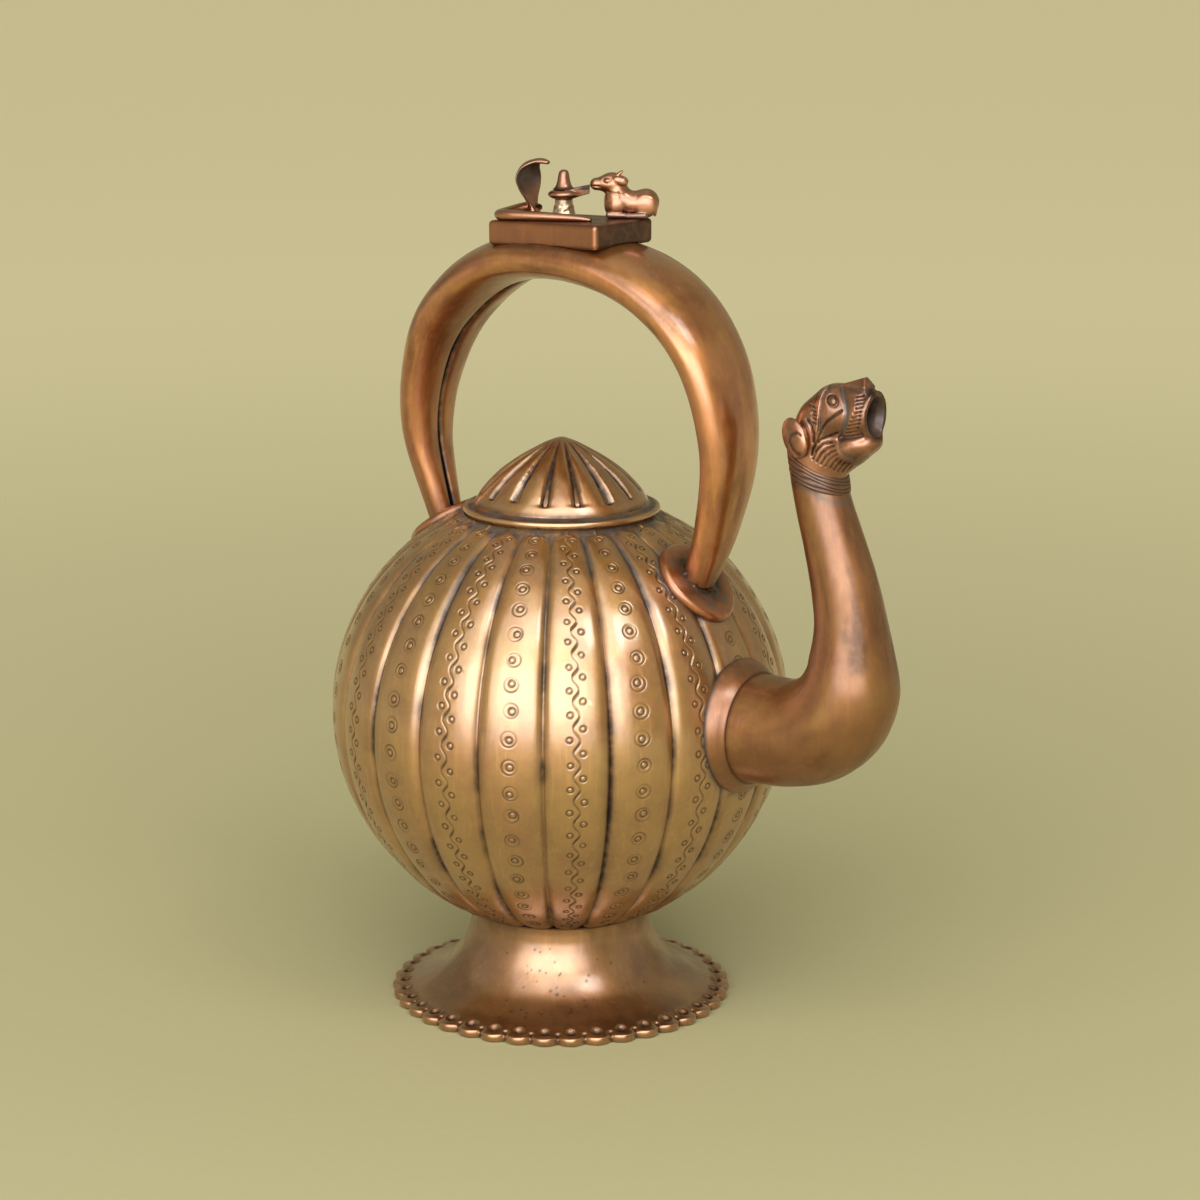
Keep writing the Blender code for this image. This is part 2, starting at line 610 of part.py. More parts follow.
for c, rad, deg in pieces:
    blob = ball("blob", c, rad, Matrix.Rotation(math.radians(deg), 3, 'Y'), 8, 6, cut_coll)
    nandi = boolean(nandi, blob, 'UNION')
base = cylinder("base", (0, 0, -0.02), (0, 0, 0.0001), 0.03, 12, cut_coll)
nandi = boolean(nandi, base, 'DIFFERENCE')
nandi.matrix_world = (Matrix.Translation((0.0236, 0.0132, TOP - 0.0001))
                      @ Matrix.Rotation(math.radians(180.0 + 34.0), 4, 'Z')
                      @ Matrix.Diagonal((1.0, 1.0, 0.96, 1.0)))
freeze(nandi)
finish(nandi, material("nandi_brass", COPPER, 0.34), 60.0)

# ------------------------------------------------------------------ placement
root = bpy.data.objects.new("gangajali_axis", None)
part_coll.objects.link(root)
root.location = (AXIS_X, 0.0, 0.0)
lid = bpy.data.objects.new("lid_axis", None)
part_coll.objects.link(lid)
lid.parent = root
lid.location = (0.0, 0.0, BRIM_LOW)
for o in list(part_coll.objects):
    if o.type != 'MESH':
        continue
    if o.name.startswith("lid_"):
        o.data.transform(Matrix.Translation((0.0, 0.0, -BRIM_LOW)))
        o.parent = lid
    else:
        o.parent = root
update()
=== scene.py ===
"""Looks of the gangajali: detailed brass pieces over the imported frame."""
import bpy
import math
import numpy as np
from mathutils import Vector, Matrix


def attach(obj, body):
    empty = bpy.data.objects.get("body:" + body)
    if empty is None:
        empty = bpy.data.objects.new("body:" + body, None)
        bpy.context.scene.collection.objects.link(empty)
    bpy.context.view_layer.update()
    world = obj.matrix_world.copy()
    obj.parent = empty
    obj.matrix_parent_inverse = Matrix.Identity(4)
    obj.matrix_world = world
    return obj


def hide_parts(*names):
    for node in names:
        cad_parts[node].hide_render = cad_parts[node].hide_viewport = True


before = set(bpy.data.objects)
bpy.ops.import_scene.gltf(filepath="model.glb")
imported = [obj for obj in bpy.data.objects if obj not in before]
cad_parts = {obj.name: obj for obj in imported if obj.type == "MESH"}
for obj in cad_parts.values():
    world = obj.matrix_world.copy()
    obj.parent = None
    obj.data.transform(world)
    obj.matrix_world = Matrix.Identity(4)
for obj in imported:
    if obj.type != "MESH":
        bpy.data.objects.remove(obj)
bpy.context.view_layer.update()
AX = -0.03026                     # vessel axis in the shared frame
TAU = 2.0 * math.pi


# ------------------------------------------------------------------ mesh tools
def smooth(a, lo, hi):
    t = np.clip((a - lo) / (hi - lo), 0.0, 1.0)
    return t * t * (3.0 - 2.0 * t)


def hash3(p, seed=0):
    """Cheap value noise in 0..1 at points (n,3), unit cell size."""
    i = np.floor(p).astype(np.int64)
    f = p - i
    f = f * f * (3.0 - 2.0 * f)
    out = np.zeros(len(p))
    for dx in (0, 1):
        for dy in (0, 1):
            for dz in (0, 1):
                n = (i[:, 0] + dx) * 374761393 + (i[:, 1] + dy) * 668265263 + (i[:, 2] + dz) * 2147483647 + seed * 974711
                n = (n ^ (n >> 13)) * 1274126177
                n = n ^ (n >> 16)
                v = (n & 0xFFFF) / 65535.0
                w = (f[:, 0] if dx else 1 - f[:, 0]) * (f[:, 1] if dy else 1 - f[:, 1]) * (f[:, 2] if dz else 1 - f[:, 2])
                out += v * w
    return out


def fbm(p, scale, seed=0, octaves=3):
    s, a, t = 0.0, 1.0, 0.0
    for k in range(octaves):
        s = s + a * hash3(p * scale * 2 ** k + 17.3 * k, seed + k)
        t += a
        a *= 0.5
    return s / t


def make(name, V, polys, body, nodes, mat, attrs=None, sharp=None, curve=True, local=True):
    """Mesh piece from vertices (n,3) and a list of face index arrays (each (m,k))."""
    V = np.asarray(V, dtype=np.float64).reshape(-1, 3).copy()
    if local:
        V[:, 0] += AX
    me = bpy.data.meshes.new(name)
    groups = [np.asarray(p, dtype=np.int32) for p in polys if len(p)]
    loops, totals = [], []
    for g in groups:
        loops.append(g.ravel())
        totals.append(np.full(len(g), g.shape[1], dtype=np.int32))
    loops = np.concatenate(loops)
    totals = np.concatenate(totals)
    starts = np.concatenate([[0], np.cumsum(totals)[:-1]]).astype(np.int32)
    me.vertices.add(len(V))
    me.vertices.foreach_set("co", V.ravel())
    me.loops.add(len(loops))
    me.loops.foreach_set("vertex_index", loops)
    me.polygons.add(len(totals))
    me.polygons.foreach_set("loop_start", starts)
    me.polygons.foreach_set("loop_total", totals)
    me.polygons.foreach_set("use_smooth", np.ones(len(totals), dtype=bool))
    me.update(calc_edges=True)
    me.validate()
    if sharp is not None:
        me.set_sharp_from_angle(angle=math.radians(sharp))
    attrs = dict(attrs or {})
    if curve:
        ne = len(me.edges)
        E = np.empty(ne * 2, dtype=np.int32)
        me.edges.foreach_get("vertices", E)
        E = E.reshape(-1, 2)
        N = np.empty(len(V) * 3)
        me.vertices.foreach_get("normal", N)
        N = N.reshape(-1, 3)
        cnt = np.bincount(E.ravel(), minlength=len(V)).astype(float)
        cnt[cnt == 0] = 1.0

        def spread(a):
            s = np.bincount(E[:, 0], weights=a[E[:, 1]], minlength=len(V))
            s += np.bincount(E[:, 1], weights=a[E[:, 0]], minlength=len(V))
            return s / cnt
        L = np.linalg.norm(V[E[:, 0]] - V[E[:, 1]], axis=1)
        ml = (np.bincount(E[:, 0], weights=L, minlength=len(V)) + np.bincount(E[:, 1], weights=L, minlength=len(V))) / cnt
        lap = np.stack([spread(V[:, k]) - V[:, k] for k in range(3)], -1)
        c = (lap * N).sum(1) / np.maximum(ml, 1e-5) ** 2      # 1/m, concave positive
        for _ in range(3):
            c = 0.5 * c + 0.5 * spread(c)
        # Curvature masks: hollows darken, partly patina and partly painted shade; convex edges lighten, partly wear and
        # partly painted highlight.
        crevice_patina_and_shade = np.clip(c / 900.0, 0.0, 1.0)
        for _ in range(2):
            crevice_patina_and_shade = np.maximum(crevice_patina_and_shade * 0.98, 0.5 * crevice_patina_and_shade + 0.5 * spread(crevice_patina_and_shade))
        attrs.setdefault("crevice_patina_and_shade", crevice_patina_and_shade)
        attrs.setdefault("wear_and_highlight", np.clip(-c / 1100.0, 0.0, 1.0))
    for k, a in attrs.items():
        at = me.attributes.new(k, 'FLOAT', 'POINT')
        at.data.foreach_set("value", np.asarray(a, dtype=np.float32))
    o = bpy.data.objects.new(name, me)
    bpy.context.scene.collection.objects.link(o)
    me.materials.append(mat)
    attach(o, body)
    if nodes:
        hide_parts(*nodes)
    return o


def grid_faces(nu, nv, wrap_u=False, wrap_v=False, base=0, flip=False):
    iu = np.arange(nu if wrap_u else nu - 1)
    iv = np.arange(nv if wrap_v else nv - 1)
    a, b = np.meshgrid(iu, iv, indexing='ij')
    a2, b2 = (a + 1) % nu, (b + 1) % nv
    q = np.stack([a * nv + b, a2 * nv + b, a2 * nv + b2, a * nv + b2], -1).reshape(-1, 4) + base
    return q[:, ::-1] if flip else q


def rom(points, u):
    """Catmull-Rom through rows of numbers, u array in 0..1."""
    P = np.asarray(points, dtype=float)
    n = len(P) - 1
    u = np.clip(np.asarray(u, dtype=float), 0, 1) * n
    i = np.minimum(u.astype(int), n - 1)
    t = (u - i)[:, None]
    E = np.vstack([2 * P[0] - P[1], P, 2 * P[-1] - P[-2]])
    p0, p1, p2, p3 = E[i], E[i + 1], E[i + 2], E[i + 3]
    return 0.5 * (2 * p1 + (p2 - p0) * t + (2 * p0 - 5 * p1 + 4 * p2 - p3) * t ** 2 + (3 * p1 - p0 - 3 * p2 + p3) * t ** 3)


def revolve(prof, steps, warp=None):
    """Turn an (n,2) closed or open profile about the axis: returns V (steps,n,3)."""
    P = np.asarray(prof, dtype=float)
    th = np.arange(steps) * TAU / steps
    r = np.broadcast_to(P[:, 0], (steps, len(P))).copy()
    z = np.broadcast_to(P[:, 1], (steps, len(P))).copy()
    T = np.broadcast_to(th[:, None], r.shape)
    if warp is not None:
        r, z = warp(T, r, z)
    return np.stack([r * np.cos(T), r * np.sin(T), z], -1)


def dense(prof, step):
    """Resample a polyline profile through a smooth curve at about one step."""
    P = np.asarray(prof, dtype=float)
    fine = rom(P, np.linspace(0, 1, len(P) * 24))
    d = np.r_[0, np.cumsum(np.linalg.norm(np.diff(fine, axis=0), axis=1))]
    n = max(3, int(round(d[-1] / step)) + 1)
    s = np.linspace(0, d[-1], n)
    return np.stack([np.interp(s, d, fine[:, k]) for k in range(fine.shape[1])], -1)


def nets(f, lo, hi, h):
    """Surface of f < 0 on a box, by naive surface nets. Returns V, quads."""
    lo, hi = np.asarray(lo, float), np.asarray(hi, float)
    n = np.ceil((hi - lo) / h).astype(int) + 1
    ax = [lo[k] + h * np.arange(n[k]) for k in range(3)]
    F = f(ax[0][:, None, None], ax[1][None, :, None], ax[2][None, None, :])
    F = np.broadcast_to(F, tuple(n)).astype(np.float32)
    S = F < 0
    c = [S[i:n[0] - 1 + i, j:n[1] - 1 + j, k:n[2] - 1 + k] for i in (0, 1) for j in (0, 1) for k in (0, 1)]
    cnt = sum(x.astype(np.int8) for x in c)
    act = (cnt > 0) & (cnt < 8)
    idx = np.argwhere(act)
    ids = np.full(act.shape, -1, dtype=np.int64)
    ids[act] = np.arange(len(idx))
    acc = np.zeros((len(idx), 3))
    num = np.zeros(len(idx))
    corner = [(i, j, k) for i in (0, 1) for j in (0, 1) for k in (0, 1)]
    for a in range(8):
        for b in range(a + 1, 8):
            d = [corner[b][k] - corner[a][k] for k in range(3)]
            if sum(abs(x) for x in d) != 1:
                continue
            ia, ib = idx + np.array(corner[a]), idx + np.array(corner[b])
            fa, fb = F[tuple(ia.T)], F[tuple(ib.T)]
            m = (fa < 0) != (fb < 0)
            t = np.where(m, fa / np.where(m, fa - fb, 1.0), 0.0)
            p = np.array(corner[a]) + t[:, None] * np.array(d)
            acc += np.where(m[:, None], p, 0.0)
            num += m
    V = lo + h * (idx + acc / num[:, None])
    quads = []
    for ax_ in range(3):
        u, v = (ax_ + 1) % 3, (ax_ + 2) % 3
        sl0, sl1 = [slice(None)] * 3, [slice(None)] * 3
        sl0[ax_], sl1[ax_] = slice(0, n[ax_] - 1), slice(1, n[ax_])
        A, B = S[tuple(sl0)], S[tuple(sl1)]
        e = np.argwhere(A != B)
        ok = (e[:, u] > 0) & (e[:, v] > 0) & (e[:, u] < n[u] - 1) & (e[:, v] < n[v] - 1)
        e = e[ok]
        inside = A[tuple(e.T)]
        du, dv = np.zeros(3, int), np.zeros(3, int)
        du[u], dv[v] = 1, 1
        q = np.stack([ids[tuple((e - du - dv).T)], ids[tuple((e - dv).T)], ids[tuple(e.T)], ids[tuple((e - du).T)]], -1)
        q[~inside] = q[~inside][:, ::-1]
        quads.append(q)
    return V, np.concatenate(quads)


def smin(a, b, k):
    h = np.clip(0.5 + 0.5 * (b - a) / k, 0.0, 1.0)
    return b * (1 - h) + a * h - k * h * (1 - h)


def ell(x, y, z, c, r, pitch=0.0, yaw=0.0):
    """Approximate distance to an ellipsoid, pitched about Y then yawed about Z."""
    dx, dy, dz = x - c[0], y - c[1], z - c[2]
    if yaw:
        cy, sy = math.cos(yaw), math.sin(yaw)
        dx, dy = dx * cy + dy * sy, dy * cy - dx * sy
    if pitch:
        cp, sp = math.cos(pitch), math.sin(pitch)
        dx, dz = dx * cp + dz * sp, dz * cp - dx * sp
    k0 = np.sqrt((dx / r[0]) ** 2 + (dy / r[1]) ** 2 + (dz / r[2]) ** 2)
    k1 = np.sqrt((dx / r[0] ** 2) ** 2 + (dy / r[1] ** 2) ** 2 + (dz / r[2] ** 2) ** 2)
    return k0 * (k0 - 1.0) / np.maximum(k1, 1e-9)


def cap(x, y, z, a, b, ra, rb=None):
    rb = ra if rb is None else rb
    a, b = np.asarray(a, float), np.asarray(b, float)
    d = b - a
    t = np.clip(((x - a[0]) * d[0] + (y - a[1]) * d[1] + (z - a[2]) * d[2]) / (d @ d), 0, 1)
    return np.sqrt((x - a[0] - t * d[0]) ** 2 + (y - a[1] - t * d[1]) ** 2 + (z - a[2] - t * d[2]) ** 2) - (ra + (rb - ra) * t)


def polydist(x, z, pts):
    """Distance in a plane to a polyline."""
    best = None
    for (x0, z0), (x1, z1) in zip(pts[:-1], pts[1:]):
        dx, dz = x1 - x0, z1 - z0
        t = np.clip(((x - x0) * dx + (z - z0) * dz) / (dx * dx + dz * dz), 0, 1)
        d = np.sqrt((x - x0 - t * dx) ** 2 + (z - z0 - t * dz) ** 2)
        best = d if best is None else np.minimum(best, d)
    return best


# ------------------------------------------------------------------ materials
def brass(name, gold, red, mix, rough, dark_amt=1.0, grain=1.0, coat=1.0, ior=1.88, gloss=0.20):
    """Old hand-finished brass: warm and red patches, patina and painted shade in the hollows, wear and painted
    highlights on edges.
    """
    m = bpy.data.materials.new(name)
    m.use_nodes = True
    nt = m.node_tree
    N, L = nt.nodes, nt.links
    N.clear()
    out = N.new('ShaderNodeOutputMaterial')
    p = N.new('ShaderNodeBsdfPrincipled')
    L.new(p.outputs[0], out.inputs[0])
    tc = N.new('ShaderNodeTexCoord')

    def noise(scale, detail=3.0, rgh=0.55, vec=None, dist=0.0):
        n = N.new('ShaderNodeTexNoise')
        n.inputs['Scale'].default_value = scale
        n.inputs['Detail'].default_value = detail
        n.inputs['Roughness'].default_value = rgh
        n.inputs['Distortion'].default_value = dist
        L.new(vec or tc.outputs['Object'], n.inputs['Vector'])
        return n.outputs['Fac']

    def ramp(v, a, b, lo=0.0, hi=1.0):
        r = N.new('ShaderNodeMapRange')
        r.inputs['From Min'].default_value = a
        r.inputs['From Max'].default_value = b
        r.inputs['To Min'].default_value = lo
        r.inputs['To Max'].default_value = hi
        L.new(v, r.inputs['Value'])
        return r.outputs[0]

    def math_(op, a, b):
        n = N.new('ShaderNodeMath')
        n.operation = op
        n.use_clamp = op in ('ADD', 'MULTIPLY')
        for i, v in enumerate((a, b)):
            if hasattr(v, 'links'):
                L.new(v, n.inputs[i])
            else:
                n.inputs[i].default_value = v
        return n.outputs[0]

    def blend(f, a, b):
        n = N.new('ShaderNodeMix')
        n.data_type = 'RGBA'
        L.new(f, n.inputs['Factor'])
        for s, v in ((n.inputs[6], a), (n.inputs[7], b)):
            if hasattr(v, 'links'):
                L.new(v, s)
            else:
                s.default_value = (*v, 1.0)
        return n.outputs[2]

    def attr(a):
        n = N.new('ShaderNodeAttribute')
        n.attribute_name = a
        return n.outputs['Fac']

    big = ramp(noise(34.0, 4.0, 0.6, None, 0.5), 0.38 + 0.22 * (0.5 - mix), 0.62 + 0.22 * (0.5 - mix))
    col = blend(big, gold, red)
    cloud = ramp(noise(75.0, 5.0, 0.62), 0.48, 0.80, 0.0, 0.46)
    col = blend(cloud, col, tuple(0.55 * c for c in red))
    fine = ramp(noise(620.0, 3.0, 0.6), 0.3, 0.75, 0.0, 0.14)
    col = blend(fine, col, tuple(min(1.0, 1.35 * c) for c in gold))
    # Lightening from the edge mask: wear on convex edges plus painted highlight lines beside the grooves, on the foot's
    # rim and on the plinth's corner.
    wear_and_highlight = math_('MULTIPLY', attr("wear_and_highlight"), 0.40)
    col = blend(wear_and_highlight, col, tuple(min(1.0, 1.45 * c + 0.05) for c in gold))
    gild = math_('MULTIPLY', attr("gild"), ramp(noise(210.0, 4.0, 0.6), 0.30, 0.62, 0.35, 1.0))
    col = blend(gild, col, tuple(min(1.0, c * k) for c, k in zip(gold, (1.16, 1.30, 1.02))))
    mp = N.new('ShaderNodeMapping')
    mp.inputs['Rotation'].default_value = (0.4, 0.9, 0.3)
    mp.inputs['Scale'].default_value = (1.0, 1.0, 0.085)
    L.new(tc.outputs['Object'], mp.inputs['Vector'])
    rub = ramp(noise(520.0, 2.0, 0.5, mp.outputs[0]), 0.54, 0.78, 0.0, 0.40)
    col = blend(rub, col, tuple(min(1.0, 1.4 * c) for c in gold))
    # patina plus painted shade: the dark mask, which also carries painted shade, and the curvature mask of the hollows
    dk = math_('ADD', attr("dark"), math_('MULTIPLY', attr("crevice_patina_and_shade"), 0.9 * dark_amt))
    dk = math_('MULTIPLY', dk, ramp(noise(260.0, 4.0, 0.6), 0.22, 0.55, 0.55, 1.0))
    col = blend(dk, col, (0.050, 0.028, 0.024))
    gy = math_('MULTIPLY', attr("grey"), ramp(noise(190.0, 4.0, 0.65), 0.30, 0.60, 0.25, 1.0))
    col = blend(gy, col, (0.150, 0.138, 0.138))
    bk = attr("black")
    col = blend(bk, col, (0.012, 0.011, 0.012))
    L.new(col, p.inputs['Base Color'])
    p.inputs['Metallic'].default_value = 1.0
    L.new(ramp(math_('ADD', dk, gy), 0.0, 1.0, coat, 0.25 * coat), p.inputs['Coat Weight'])
    p.inputs['Coat IOR'].default_value = ior
    p.inputs['Coat Roughness'].default_value = gloss
    r0 = ramp(noise(140.0, 5.0, 0.65), 0.25, 0.80, rough - 0.07, rough + 0.12)
    r0 = math_('ADD', r0, math_('MULTIPLY', dk, 0.22))
    r0 = math_('ADD', r0, math_('MULTIPLY', gy, 0.16))
    L.new(r0, p.inputs['Roughness'])
    # hammer marks, rubbing and pores
    bump1 = N.new('ShaderNodeBump')
    bump1.inputs['Strength'].default_value = 0.07 * grain
    bump1.inputs['Distance'].default_value = 0.0009
    L.new(noise(95.0, 2.0, 0.5), bump1.inputs['Height'])
    bump2 = N.new('ShaderNodeBump')
    bump2.inputs['Strength'].default_value = 0.05 * grain
    bump2.inputs['Distance'].default_value = 0.0002
    L.new(noise(1500.0, 3.0, 0.6), bump2.inputs['Height'])
    L.new(bump1.outputs[0], bump2.inputs['Normal'])
    L.new(bump2.outputs[0], p.inputs['Normal'])
    return m


GOLD = (0.478, 0.256, 0.072)
RED = (0.415, 0.184, 0.058)
M_BODY = brass("antique_brass_bulb", GOLD, RED, 0.44, 0.46, ior=2.18)
M_FOOT = brass("antique_brass_foot", (0.440, 0.208, 0.068), (0.345, 0.142, 0.050), 0.55, 0.37, ior=2.05, gloss=0.22)
# M_RED and M_SPOUT are one red brass in two copies: the handle's copy is brightened, painted light, and the spout's
# darkened, painted shade, for how the lamps fall on each.
M_RED = brass("red_brass_handle", (0.540, 0.212, 0.063), (0.418, 0.134, 0.042), 0.55, 0.41, coat=1.0, gloss=0.17)
M_SPOUT = brass("red_brass_spout", (0.330, 0.142, 0.051), (0.256, 0.095, 0.036), 0.55, 0.46, coat=0.6, gloss=0.22)
M_LID = brass("antique_brass_lid", (0.485, 0.250, 0.080), (0.390, 0.164, 0.054), 0.48, 0.40, ior=2.15, gloss=0.18)
M_FIG = brass("cast_brass_figures", (0.400, 0.152, 0.060), (0.280, 0.094, 0.041), 0.52, 0.36, 1.3, 1.6, gloss=0.14)
M_PLINTH = brass("red_brass_plinth", (0.320, 0.114, 0.038), (0.215, 0.068, 0.025), 0.55, 0.42, coat=0.6)
M_SOLDER = brass("solder_crust", (0.66, 0.52, 0.36), (0.44, 0.30, 0.18), 0.45, 0.36, 1.0, 3.0)


# ------------------------------------------------------------------ bulb
BULB = np.array([(0.0362, 0.0366), (0.0400, 0.0449), (0.0500, 0.0583), (0.0600, 0.0676),
                 (0.0700, 0.0747), (0.0800, 0.0800), (0.0900, 0.0838), (0.1000, 0.0862),
                 (0.1100, 0.0874), (0.1200, 0.0873), (0.1300, 0.0859), (0.1400, 0.0832),
                 (0.1500, 0.0791), (0.1600, 0.0734), (0.1700, 0.0656), (0.1800, 0.0548),
                 (0.1908, 0.0366)])
_ext = np.vstack([2 * BULB[0] - BULB[1], BULB, 2 * BULB[-1] - BULB[-2]])
_slope = (_ext[2:, 1] - _ext[:-2, 1]) / (_ext[2:, 0] - _ext[:-2, 0])
LOBES = 22
SEAM_Z = 0.0880


def bulb_r(z):
    z = np.asarray(z, dtype=float)
    i = np.clip(np.searchsorted(BULB[:, 0], z) - 1, 0, len(BULB) - 2)
    z1, r1, z2, r2 = BULB[i, 0], BULB[i, 1], BULB[i + 1, 0], BULB[i + 1, 1]
    h = z2 - z1
    t = (z - z1) / h
    return ((2 * t ** 3 - 3 * t * t + 1) * r1 + (t ** 3 - 2 * t * t + t) * h * _slope[i]
            + (3 * t * t - 2 * t ** 3) * r2 + (t ** 3 - t * t) * h * _slope[i + 1])


ZZ = np.linspace(0.0362, 0.1908, 4001)
RR = bulb_r(ZZ)
SS = np.r_[0.0, np.cumsum(np.hypot(np.diff(ZZ), np.diff(RR)))]
S_END = SS[-1]
S_SEAM = float(np.interp(SEAM_Z, ZZ, SS))
_dr = np.gradient(RR, SS)
_dz = np.gradient(ZZ, SS)


def lobe_shape(t, s, r):
    """Inward push, metres, at lobe coordinate t (-1..1), arc s and radius r."""
    w = r * math.pi / LOBES
    a = np.abs(t)
    size = np.clip(r / 0.085, 0.25, 1.0)
    end = smooth(S_END - s, 0.0015, 0.011)
    cushion = 0.00125 * size * a ** 3.2
    arch = np.sqrt(np.clip(1.0 - (1.0 - np.clip((S_END - s - 0.0035) / 0.0065, 0.0, 1.0)) ** 2, 0.0, 1.0))
    valley = smooth((a - arch) * w, -0.0004, 0.0008)
    dist = (1.0 - a) * w
    vee = 0.00105 * np.clip(size, 0.55, 1.0) * np.exp(-(dist / 0.00125) ** 1.5)
    return (cushion + vee) * end + 0.0007 * np.where(S_END - s < 0.0105, valley, 0.0)


# stamped pattern of every lobe, in millimetres: u across, v along from the foot
S_MM = S_END * 1000.0


def pattern(k):
    rng = np.random.default_rng(100 + k)
    rings, wave = [], None
    mid = S_MM * 0.50
    if k % 2 == 0:
        v = S_MM - 6.0
        while v > 7.0:
            f = 1.0 - min(1.0, (abs(v - mid) / (S_MM * 0.5)) ** 2.2)
            sc = 0.80 + 0.20 * f
            rings.append((rng.normal(0, 0.35) * sc, v + rng.normal(0, 0.25), 2.75 * sc * rng.uniform(0.94, 1.06),
                          1.25 * sc * rng.uniform(0.92, 1.08), rng.normal(0, 0.30) * sc, rng.normal(0, 0.22) * sc, rng.uniform(0.55, 1.0)))
            v -= (7.3 + 2.8 * f) * rng.uniform(0.95, 1.05)
    else:
        v = S_MM - 6.5
        side = 1
        knots = []
        while v > 6.0:
            f = 1.0 - min(1.0, (abs(v - mid) / (S_MM * 0.5)) ** 2.2)
            sc = 0.76 + 0.24 * f
            knots.append((v, -side * 1.15 * sc, sc))
            rings.append((side * 2.45 * sc + rng.normal(0, 0.18), v + rng.normal(0, 0.22), 1.08 * sc * rng.uniform(0.93, 1.07),
                          0.0, 0.0, 0.0, rng.uniform(0.55, 1.0)))
            v -= (3.5 + 1.1 * f) * rng.uniform(0.92, 1.08)
            side = -side
        wave = np.array(knots[::-1])
    return rings, wave


PATTERN = [pattern(k) for k in range(LOBES)]


def stamp(u, v, k):
    """Depth in mm (positive cut, slightly negative raised rim), stroke distance, dark 0..1."""
    rings, wave = PATTERN[k]
    cut = np.zeros_like(u)
    dark = np.zeros_like(u)
    near = np.full_like(u, 9.0)

    def stroke(d, half, depth, strength, m):
        p = np.exp(-(d / half) ** 2)
        lip = 0.08 * np.exp(-((d - 1.9 * half) / (0.8 * half)) ** 2)
        cut[m] = np.where(np.abs(depth * p) > np.abs(cut[m]), depth * p, cut[m]) - depth * lip * (cut[m] < 0.02)
        dark[m] = np.maximum(dark[m], np.minimum(1.0, strength + 0.15) * np.exp(-(d / (1.15 * half)) ** 2))
        near[m] = np.minimum(near[m], d - half)
    for uc, vc, ro, ri, du, dv, st in rings:
        m = (np.abs(v - vc) < ro + 1.6) & (np.abs(u - uc) < ro + 1.6)
        if not m.any():
            continue
        uu, vv = u[m] - uc, v[m] - vc
        rad = np.hypot(uu, vv)
        ang = np.arctan2(vv, uu)
        part = 0.62 + 0.38 * np.cos(ang - 3.0 * st * TAU)
        if ri > 0:
            stroke(np.abs(rad - ro), 0.25, 0.24 * part, (0.45 + 0.5 * st) * part, m)
            r2 = np.hypot(uu - du, vv - dv)
            stroke(np.abs(r2 - ri), 0.30, 0.32, 0.55 + 0.5 * st, m)
            bead = np.exp(-(r2 / (0.62 * ri)) ** 2)
            cut[m] -= 0.06 * bead
        else:
            stroke(np.abs(rad - ro), 0.29, 0.28, 0.55 + 0.5 * st, m)
            cut[m] -= 0.07 * np.exp(-(rad / (0.6 * ro)) ** 2)
    if wave is not None:
        m = (v > wave[0, 0] - 0.5) & (v < wave[-1, 0] + 0.5) & (np.abs(u) < 3.0)
        if m.any():
            vv = v[m]
            i = np.clip(np.searchsorted(wave[:, 0], vv) - 1, 0, len(wave) - 2)
            t = np.clip((vv - wave[i, 0]) / (wave[i + 1, 0] - wave[i, 0]), 0, 1)
            e = 0.5 - 0.5 * np.cos(math.pi * t)
            uw = wave[i, 1] * (1 - e) + wave[i + 1, 1] * e
            sl = (wave[i + 1, 1] - wave[i, 1]) * 0.5 * math.pi * np.sin(math.pi * t) / (wave[i + 1, 0] - wave[i, 0])
            d = np.abs(u[m] - uw) / np.sqrt(1 + sl * sl)
            down = (wave[i + 1, 1] > wave[i, 1]).astype(float)       # heavier on one flank
            heavy = 0.25 + 0.75 * np.sin(math.pi * t) * (0.22 + 0.78 * down)
            stroke(d, 0.16 + 0.28 * heavy, 0.16 + 0.26 * heavy, 0.40 + 0.60 * heavy, m)
    return cut, near, dark


CELLS = 16                         # coarse columns in one lobe
SUB = 6            # splits of a cell that carries a stroke
_x = np.linspace(-1, 1, CELLS + 1)
T_NODE = np.sin(_x * math.pi / 2 * 0.90) / math.sin(math.pi / 2 * 0.90)


